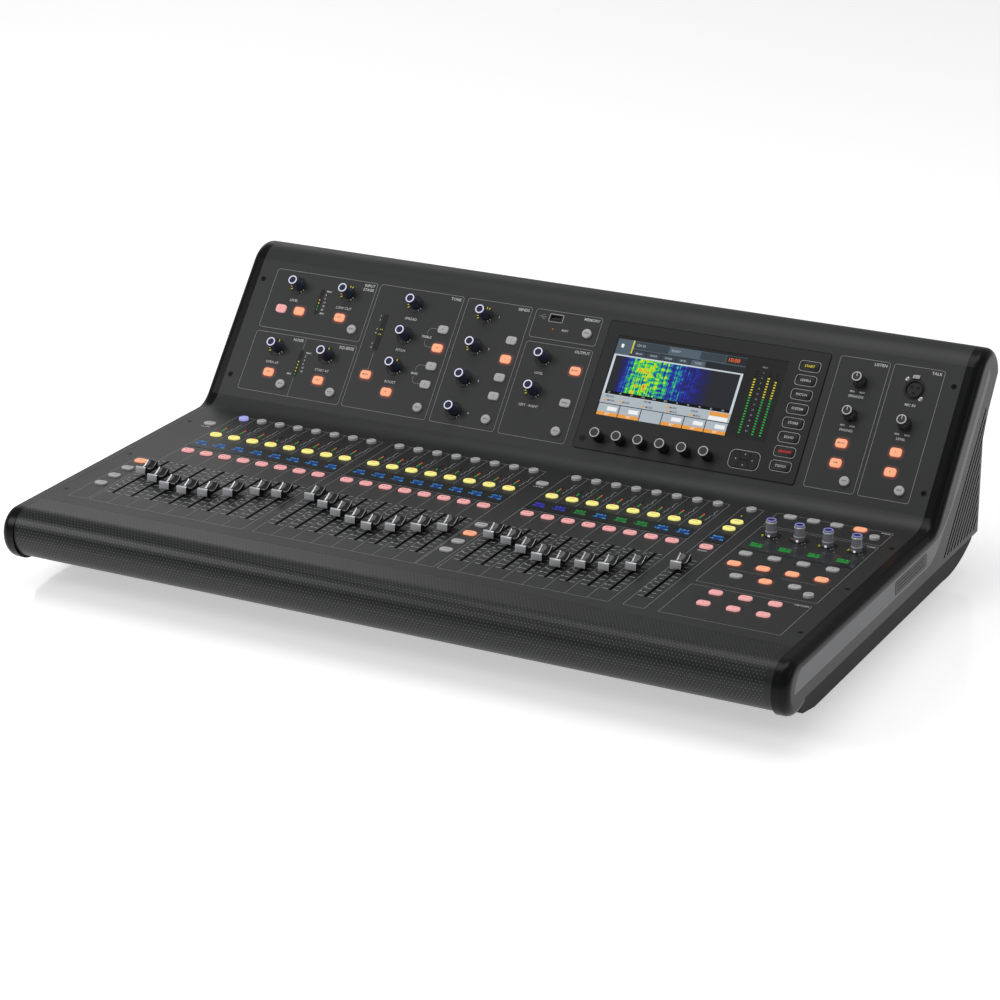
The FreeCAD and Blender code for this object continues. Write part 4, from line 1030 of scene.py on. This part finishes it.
picture = [tile(0, 1, 0, 1, tints["night"], 0),
           tile(0, 1, 0.885, 1.0, tints["steel"], 1), tile(0, 0.115, 0.80, 1.0, tints["steel"], 2),
           tile(0.118, 0.128, 0.83, 1.0, lamps["yellow"], 3),
           tile(0.135, 0.40, 0.895, 0.995, tints["slate"], 2),
           tile(0.405, 0.64, 0.895, 0.995, tints["steel"], 2),
           tile(0.645, 0.84, 0.895, 0.995, tints["slate"], 2),
           tile(0.845, 1.0, 0.895, 0.995, tints["night"], 2),
           tile(0.0, 1.0, 0.165, 0.80, tints["pale"], 1), tile(0.018, 0.982, 0.285, 0.782, tints["black"], 2),
           tile(0.018, 0.982, 0.325, 0.782, spectrumFinish(), 3),
           tile(0.0, 1.0, 0.165, 0.28, tints["mist"], 2)]
for n in range(5):
    picture.append(tile(0.13 + 0.115 * n, 0.24 + 0.115 * n, 0.805, 0.875,
                        tints["steel" if n == 4 else "slate"], 2))
for n in range(6):
    left = n / 6 + 0.003
    picture.append(tile(left, left + 0.160, 0.005, 0.155, tints["mist"], 2))
    if n != 2:
        picture.append(tile(left, left + 0.160, 0.005, 0.05, tints["amber"], 3))
        picture.append(tile(left + 0.07, left + 0.145, 0.075, 0.125, tints["white"], 3))
        picture.append(screenWord("SET", left + 0.08, 0.028, 2.4, tints["white"], "CENTER"))
for x, y in ((0.03, 0.19), (0.15, 0.19), (0.33, 0.18), (0.51, 0.225), (0.52, 0.175), (0.70, 0.175)):
    picture.append(tile(x, x + 0.016, y, y + 0.027, tints["amber"], 3))
    picture.append(screenWord("MODE", x + 0.024, y + 0.012, 2.2, tints["ink"]))
picture += [tile(0.84, 0.985, 0.225, 0.275, tints["amber"], 3),
            tile(0.84, 0.985, 0.17, 0.222, tints["white"], 3),
            screenWord("SIGNAL", 0.03, 0.255, 2.4, tints["ink"]),
            screenWord("FROM", 0.33, 0.255, 2.4, tints["ink"]),
            screenWord("SPAN", 0.70, 0.24, 2.4, tints["ink"]),
            screenWord("CH 01", 0.15, 0.945, 3.0, tints["mist"]),
            screenWord("READY", 0.42, 0.945, 2.6, tints["mist"]),
            screenWord("10:00", 0.855, 0.945, 4.8, tints["time"])]
for n, figure in enumerate(("20", "40", "60", "100", "200", "400", "1k", "2k", "4k", "8k", "16k")):
    picture.append(screenWord(figure, 0.05 + 0.088 * n, 0.305, 2.0, tints["mist"], "CENTER"))
for n in range(5):
    picture.append(screenWord(("MAIN", "INPUT", "NOISE", "LEVEL", "TONE")[n], 0.185 + 0.115 * n, 0.84, 2.3,
                              tints["mist"], "CENTER"))
ball = copyTo(lampMaster, screen["x"][0] + 7.0, screen["y"][1] - 8.0, screen["lift"], 0, 2.6)
picture.append(paint(ball, tints["white"]))
settle(joinAs("screenPicture", picture), "bridge")

meters = {"x": (204.0, 219.5, 228.3), "scaleX": 211.8, "low": 71.5, "pitch": 3.1, "count": 24,
          "green": 14, "yellow": (21, 22, 21)}
bars = []
barMaster = slab(2.3, 1.3, 0.6, 0.8)
for column, x in enumerate(meters["x"]):
    for n in range(meters["count"]):
        tint = "green" if n < meters["green"] else "yellow" if n < meters["yellow"][column] else "off"
        bars.append(paint(copyTo(barMaster, x, meters["low"] + meters["pitch"] * n), lamps[tint]))
for n, figure in enumerate(("MAX", "3", "6", "9", "12", "15", "18", "21", "24", "30", "36", "48", "57")):
    bars.append(word(figure, meters["scaleX"], meters["low"] + 77.0 - 6.2 * n, 2.0, fineInk, lift=0.7))
settle(joinAs("screenMeters", bars), "bridge")
discard(barMaster, lampMaster)
print("screen made")

# mode keys, arrow pad and small marks by the screen
modeCap = grainedFinish("blackSilicone", {
    "dark": "#151616", "light": "#1a1b1b", "gloss": (0.40, 0.50), "grainMm": 0.8, "relief": 0.05,
    "shader": {"Specular IOR Level": 0.3}})
width, depth, corner, height = keyShapes["wide"]
master = smooth(slab(width, depth, -5.5, height, corner, 0.5), 40)
caps = [copyTo(master, modeKeys["x"], modeKeys["firstY"] + modeKeys["pitch"] * n) for n in range(8)]
discard(master)
arrowPad = {"x": 219.1, "y": 41.7, "width": 32.0, "depth": 19.0, "gap": 0.3, "height": 1.7}


def arrowKey(turn):   # one quarter of the pad, between its diagonals
    halfWidth, halfDepth = arrowPad["width"] / 2, arrowPad["depth"] / 2
    gap = arrowPad["gap"]
    if turn % 180 == 0:
        outline = [(4.0 + gap, 0.0), (7.5 + gap, -halfDepth), (halfWidth - 3.0, -halfDepth),
                   (halfWidth, -halfDepth + 4.0),
                   (halfWidth, halfDepth - 4.0), (halfWidth - 3.0, halfDepth), (7.5 + gap, halfDepth)]
    else:
        outline = [(-4.0, gap), (4.0, gap), (7.5 - gap, halfDepth), (-7.5 + gap, halfDepth)]
    if turn >= 180:
        outline = [(-x, -y) for x, y in outline]
    piece = plate(outline, arrowPad["height"] + 5.0)
    bpy.ops.object.mode_set(mode="EDIT")
    pickEdges(piece, lambda middle, way: abs(way.z) > 0.99)
    bpy.ops.mesh.bevel(offset=0.5, segments=2, affect="EDGES")
    bpy.ops.object.mode_set(mode="OBJECT")
    piece.location = (arrowPad["x"], arrowPad["y"], -5.0)
    return piece


caps += [arrowKey(turn) for turn in (0, 90, 180, 270)]
piece = paint(joinAs("screenKeys", caps), modeCap)
settle(piece, "bridge", "bridge_keys")
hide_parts("bridge_keys")
marks = []
for n, text in enumerate(modeKeys["words"]):
    y = modeKeys["firstY"] + modeKeys["pitch"] * n
    finish = {7: lamps["yellow"], 1: lamps["red"]}.get(n, paleInk)
    marks.append(word(text, modeKeys["x"], y, 2.9, finish, lift=height + 0.05))
for x, y in ((-9.5, 0), (9.5, 0), (0, 6.2), (0, -6.2)):
    marks.append(word("+", arrowPad["x"] + x, arrowPad["y"] + y, 2.6, paleInk,
                      lift=arrowPad["height"] + 0.05))
settle(joinAs("screenKeyMarks", marks), "bridge", "bridge_keys")
parts = [inkLines("padRim", [roundedOutline(201.9, 236.3, 31.2, 52.2, 6.0)], 0.55, paleInk, closed=True)]
rims = [roundedOutline(modeKeys["x"] - 11.9, modeKeys["x"] + 11.9,
                       modeKeys["firstY"] + modeKeys["pitch"] * n - 6.0,
                       modeKeys["firstY"] + modeKeys["pitch"] * n + 6.0, 3.6) for n in range(8)]
parts.append(inkLines("keyRims", rims, 0.5, paleInk, closed=True))
# a dark line round the raised screen plate: partly its seam, partly painted shade along its raised edge
parts.append(inkLines("plateSeamAndPaintedEdgeShade", [roundedOutline(21.3, 280.7, 23.8, 175.7, 3.0)], 0.5, trayCoat,
                      closed=True))
for part in parts:
    part.location.z = 1.0
grille = {"x": 30.6, "y": 35.3, "pitch": 1.9}
# each grille hole is a flat black disc: painted shade where the hole is dark inside
holeMaster = lathe([(0.01, 0.0), (0.7, 0.0), (0.75, 0.08)], 8)
paint(holeMaster, lamps["off"])
for ringNumber, count in ((0, 1), (1, 6), (2, 12)):
    for n in range(count):
        angle = math.tau * n / count
        parts.append(copyTo(holeMaster, grille["x"] + ringNumber * grille["pitch"] * 0.85 * math.cos(angle),
                            grille["y"] + ringNumber * grille["pitch"] * 0.85 * math.sin(angle), 1.02))
discard(holeMaster)
settle(joinAs("screenSurroundMarks", parts), "bridge")
print("screen keys made")

# armrest dots
dots = {"pitchX": 3.9, "pitchY": 3.3, "radius": 0.62, "rise": 0.12, "halfWidth": 424.0}
arm = {"seamY": -235.5, "noseY": -262.5, "noseZ": 62.2, "nose": 24.3, "chinY": -256.4, "chinZ": 61.2,
       "chin": 30.4}


def armrestRoute():   # places down the armrest's skin, with the way out of it
    places = []
    y = arm["seamY"] - 2.5
    while y > arm["noseY"]:
        places.append((y, 86.5, 90.0))
        y -= dots["pitchY"]
    step = math.degrees(dots["pitchY"] / arm["nose"])
    angle = 90.0 + step / 2
    while angle < 180.0:
        places.append((arm["noseY"] + arm["nose"] * math.cos(math.radians(angle)),
                       arm["noseZ"] + arm["nose"] * math.sin(math.radians(angle)), angle))
        angle += step
    step = math.degrees(dots["pitchY"] / arm["chin"])
    angle = 180.0 + step / 2
    while angle < 286.0:
        places.append((arm["chinY"] + arm["chin"] * math.cos(math.radians(angle)),
                       arm["chinZ"] + arm["chin"] * math.sin(math.radians(angle)), angle))
        angle += step
    return places


bpy.ops.mesh.primitive_cone_add(vertices=6, radius1=dots["radius"], radius2=dots["radius"] * 0.5,
                                depth=dots["rise"] * 2, end_fill_type="NGON")
row = bpy.context.object
array = row.modifiers.new("row", "ARRAY")
array.use_relative_offset = False
array.use_constant_offset = True
array.constant_offset_displace = (dots["pitchX"], 0, 0)
array.count = int(2 * dots["halfWidth"] / dots["pitchX"])
bpy.ops.object.modifier_apply(modifier="row")
rows = []
for n, (y, z, angle) in enumerate(armrestRoute()):
    part = copyTo(row, -dots["halfWidth"] + (n % 2) * dots["pitchX"] / 2, y, z)
    part.rotation_euler = (math.radians(angle - 90), 0, 0)
    rows.append(part)
discard(row)
# the dots wear the painted highlight finish
dotPiece = settle(paint(joinAs("armrestDots", rows), dotsPaintedHighlight), "whole")
print("armrest dots made")

# talkback socket on the bridge
talkback = {"x": 380.4, "y": 150.6, "latch": (379.2, 164.4), "screws": ((369.9, 161.1), (389.9, 140.8))}
collar = paint(lathe([(9.9, 0.0), (9.9, 1.0), (9.4, 1.3), (8.9, 1.0), (8.9, 0.0)], 40), castShell)
collar.location = (talkback["x"], talkback["y"], 0)
latch = paint(slab(8.6, 4.4, 0.0, 1.6, 1.6, 0.5), nickelPlate)
latch.location = (*talkback["latch"], 0)
parts = [collar, latch]
screwHead = paint(lathe([(0.01, 0.7), (0.9, 0.7), (0.95, 1.1), (2.3, 0.9), (2.7, 0.5), (2.7, 0.0)], 20),
                  nickelPlate)
parts += [copyTo(screwHead, x, y) for x, y in talkback["screws"]]
# pin holes are flat black discs: painted shade for the dark inside the socket holes
pinHole = paint(lathe([(0.01, 0.0), (1.35, 0.0), (1.5, 0.12)], 14), lamps["off"])
parts += [copyTo(pinHole, talkback["x"] + 4.4 * math.cos(math.radians(a)),
                 talkback["y"] + 4.4 * math.sin(math.radians(a)),
                 0.05) for a in (30, 150, 270)]
settle(joinAs("talkbackFittings", parts), "bridge")

# rear sockets
rear = {"columns": [-375.0 + 50.0 * n for n in range(16)], "rows": (23.0, 61.0),
        "outColumns": [-255.0 + 37.0 * n for n in range(16)], "outRow": 56.0}
tab = paint(slab(6.4, 3.0, 1.2, 2.4, 1.0, 0.4), nickelPlate)
rim = paint(lathe([(9.7, 1.2), (9.7, 1.6), (10.4, 1.9), (11.2, 1.2)], 28), nickelPlate)
smallScrew = paint(lathe([(0.01, 1.5), (0.7, 1.5), (0.75, 1.9), (1.6, 1.8), (2.0, 1.2)], 12), blackOxide)


def socketDetails(x, y, female):
    parts = [copyTo(rim, x, y), copyTo(smallScrew, x - 10.3, y + 11.3),
             copyTo(smallScrew, x + 10.3, y - 11.3)]
    if female:
        parts.append(copyTo(tab, x, y + 12.0))
        parts += [copyTo(pinHole, x + 4.4 * math.cos(math.radians(a)), y + 4.4 * math.sin(math.radians(a)),
                         1.22)
                  for a in (30, 150, 270)]
    return parts


inputParts = []
inputMarks = []
for rowNumber, y in enumerate(rear["rows"]):
    for n, x in enumerate(rear["columns"]):
        inputParts += socketDetails(x, y, True)
        inputMarks.append(word(str(n + 1 + 16 * rowNumber), x + 17.0, y + 9.0, 4.6, paleInk))
settle(joinAs("inputSocketFittings", inputParts), "rearSlope")
settle(joinAs("inputNumbers", inputMarks), "rearSlope")
outputParts = []
outputMarks = []
pin = paint(lathe([(0.01, 0.6), (0.8, 0.4), (1.2, -0.2), (1.2, -2.0)], 12), nickelPlate)
for n, x in enumerate(rear["outColumns"]):
    outputParts += socketDetails(x, rear["outRow"], False)
    outputParts += [copyTo(pin, x + 4.4 * math.cos(math.radians(a)),
                           rear["outRow"] + 4.4 * math.sin(math.radians(a)), 0.4)
                    for a in (90, 210, 330)]
    outputMarks.append(word(str(n + 1), x, rear["outRow"] - 19.0, 4.6, paleInk))
outputMarks += [word("OUTPUTS", 22.0, 24.0, 6.0, paleInk), word("POWER", -366.0, 28.0, 5.0, paleInk),
                word("PHONES", -300.0, 35.0, 4.2, paleInk), word("NETWORK", 367.0, 30.0, 5.0, paleInk)]
parts = [inkLines("outFrame", [roundedOutline(-280.0, 325.0, 16.0, 80.0, 3.0)], 0.7, paleInk, closed=True)]
settle(joinAs("outputSocketFittings", outputParts), "rearWall")
settle(joinAs("outputMarks", outputMarks + parts), "rearWall")
discard(tab, rim, smallScrew, pinHole, screwHead, pin)
print("rear fittings made")

# plain raised badge on the right-hand strip
badge = {"middle": (38.0, 65.0), "width": 90.0, "height": 15.0, "rise": 0.3}
plaque = slab(badge["width"], badge["height"], 0.0, badge["rise"], 3.0, 0.1, 4)
ridges = [slab(badge["width"] - 14.0, 1.2, badge["rise"], badge["rise"] + 0.25, 0.5, 0.1,
               2) for n in range(3)]
for n, ridge in enumerate(ridges):
    ridge.location = (0, 3.6 * (n - 1), 0)
plaque = joinAs("plaque", [plaque] + ridges)
plaque.location = (*badge["middle"], 0)
piece = paint(joinAs("sideBadge", [plaque]), cheekAbs)
settle(piece, "rightEnd")
print("badge made")

for master in wordMeshes.values():
    bpy.data.objects.remove(master)

# floor, lights and camera
bpy.ops.mesh.primitive_plane_add(size=14, location=(0, 0, 0))
floor = bpy.context.object
floor.name = "floor"
paint(floor, grainedFinish("paleStudioFloor", {
    "dark": "#f2f2f2", "light": "#f6f6f6", "gloss": (0.10, 0.14), "grainMm": 30.0, "relief": 0.0,
    "shader": {"Emission Color": (1.0, 1.0, 1.0, 1.0), "Emission Strength": 0.5}}))

softboxes = {   # place and size in metres, power in watts, point aimed at
    "overhead": {"at": (-0.2, 0.2, 2.8), "size": (2.4, 1.4), "power": 27, "aim": (0, 0, 0.1)},
    "frontLeft": {"at": (-2.4, -2.2, 2.2), "size": (1.4, 1.4), "power": 34, "aim": (-0.1, -0.1, 0.1)},
    "rearLeft": {"at": (-2.3, 2.3, 1.5), "size": (1.8, 1.2), "power": 7, "aim": (-0.3, -0.1, 0.1)},
    "right": {"at": (2.8, 0.2, 1.5), "size": (1.6, 0.8), "power": 2.5, "aim": (0.3, 0, 0.1)},
}
for name, box in softboxes.items():
    lamp = bpy.data.lights.new(name, "AREA")
    lamp.shape = "RECTANGLE"
    lamp.size, lamp.size_y = box["size"]
    lamp.energy = box["power"]
    light = bpy.data.objects.new(name, lamp)
    light.location = box["at"]
    light.rotation_euler = (Vector(box["aim"]) - Vector(box["at"])).to_track_quat("-Z", "Y").to_euler()
    bpy.context.collection.objects.link(light)
world = bpy.data.worlds.new("studio")
world.use_nodes = True
world.node_tree.nodes["Background"].inputs["Color"].default_value = colour("#ffffff")
world.node_tree.nodes["Background"].inputs["Strength"].default_value = 0.32
bpy.context.scene.world = world
bpy.context.scene.view_settings.view_transform = "Standard"

view = {   # a long lens from the front right, lengths in millimetres, place in metres, angles in degrees
    "lens": 113.9, "sensor": 36.0, "shift": (0.00701, 0.01729), "at": (1.4398, -2.7901, 1.2741),
    "tilt": 68.865, "turn": 27.494}
cameraData = bpy.data.cameras.new("camera")
cameraData.lens = view["lens"]
cameraData.sensor_width = view["sensor"]
cameraData.shift_x, cameraData.shift_y = view["shift"]
camera = bpy.data.objects.new("camera", cameraData)
camera.location = view["at"]
camera.rotation_euler = (math.radians(view["tilt"]), 0, math.radians(view["turn"]))
bpy.context.collection.objects.link(camera)
bpy.context.scene.camera = camera

print("scene ready")
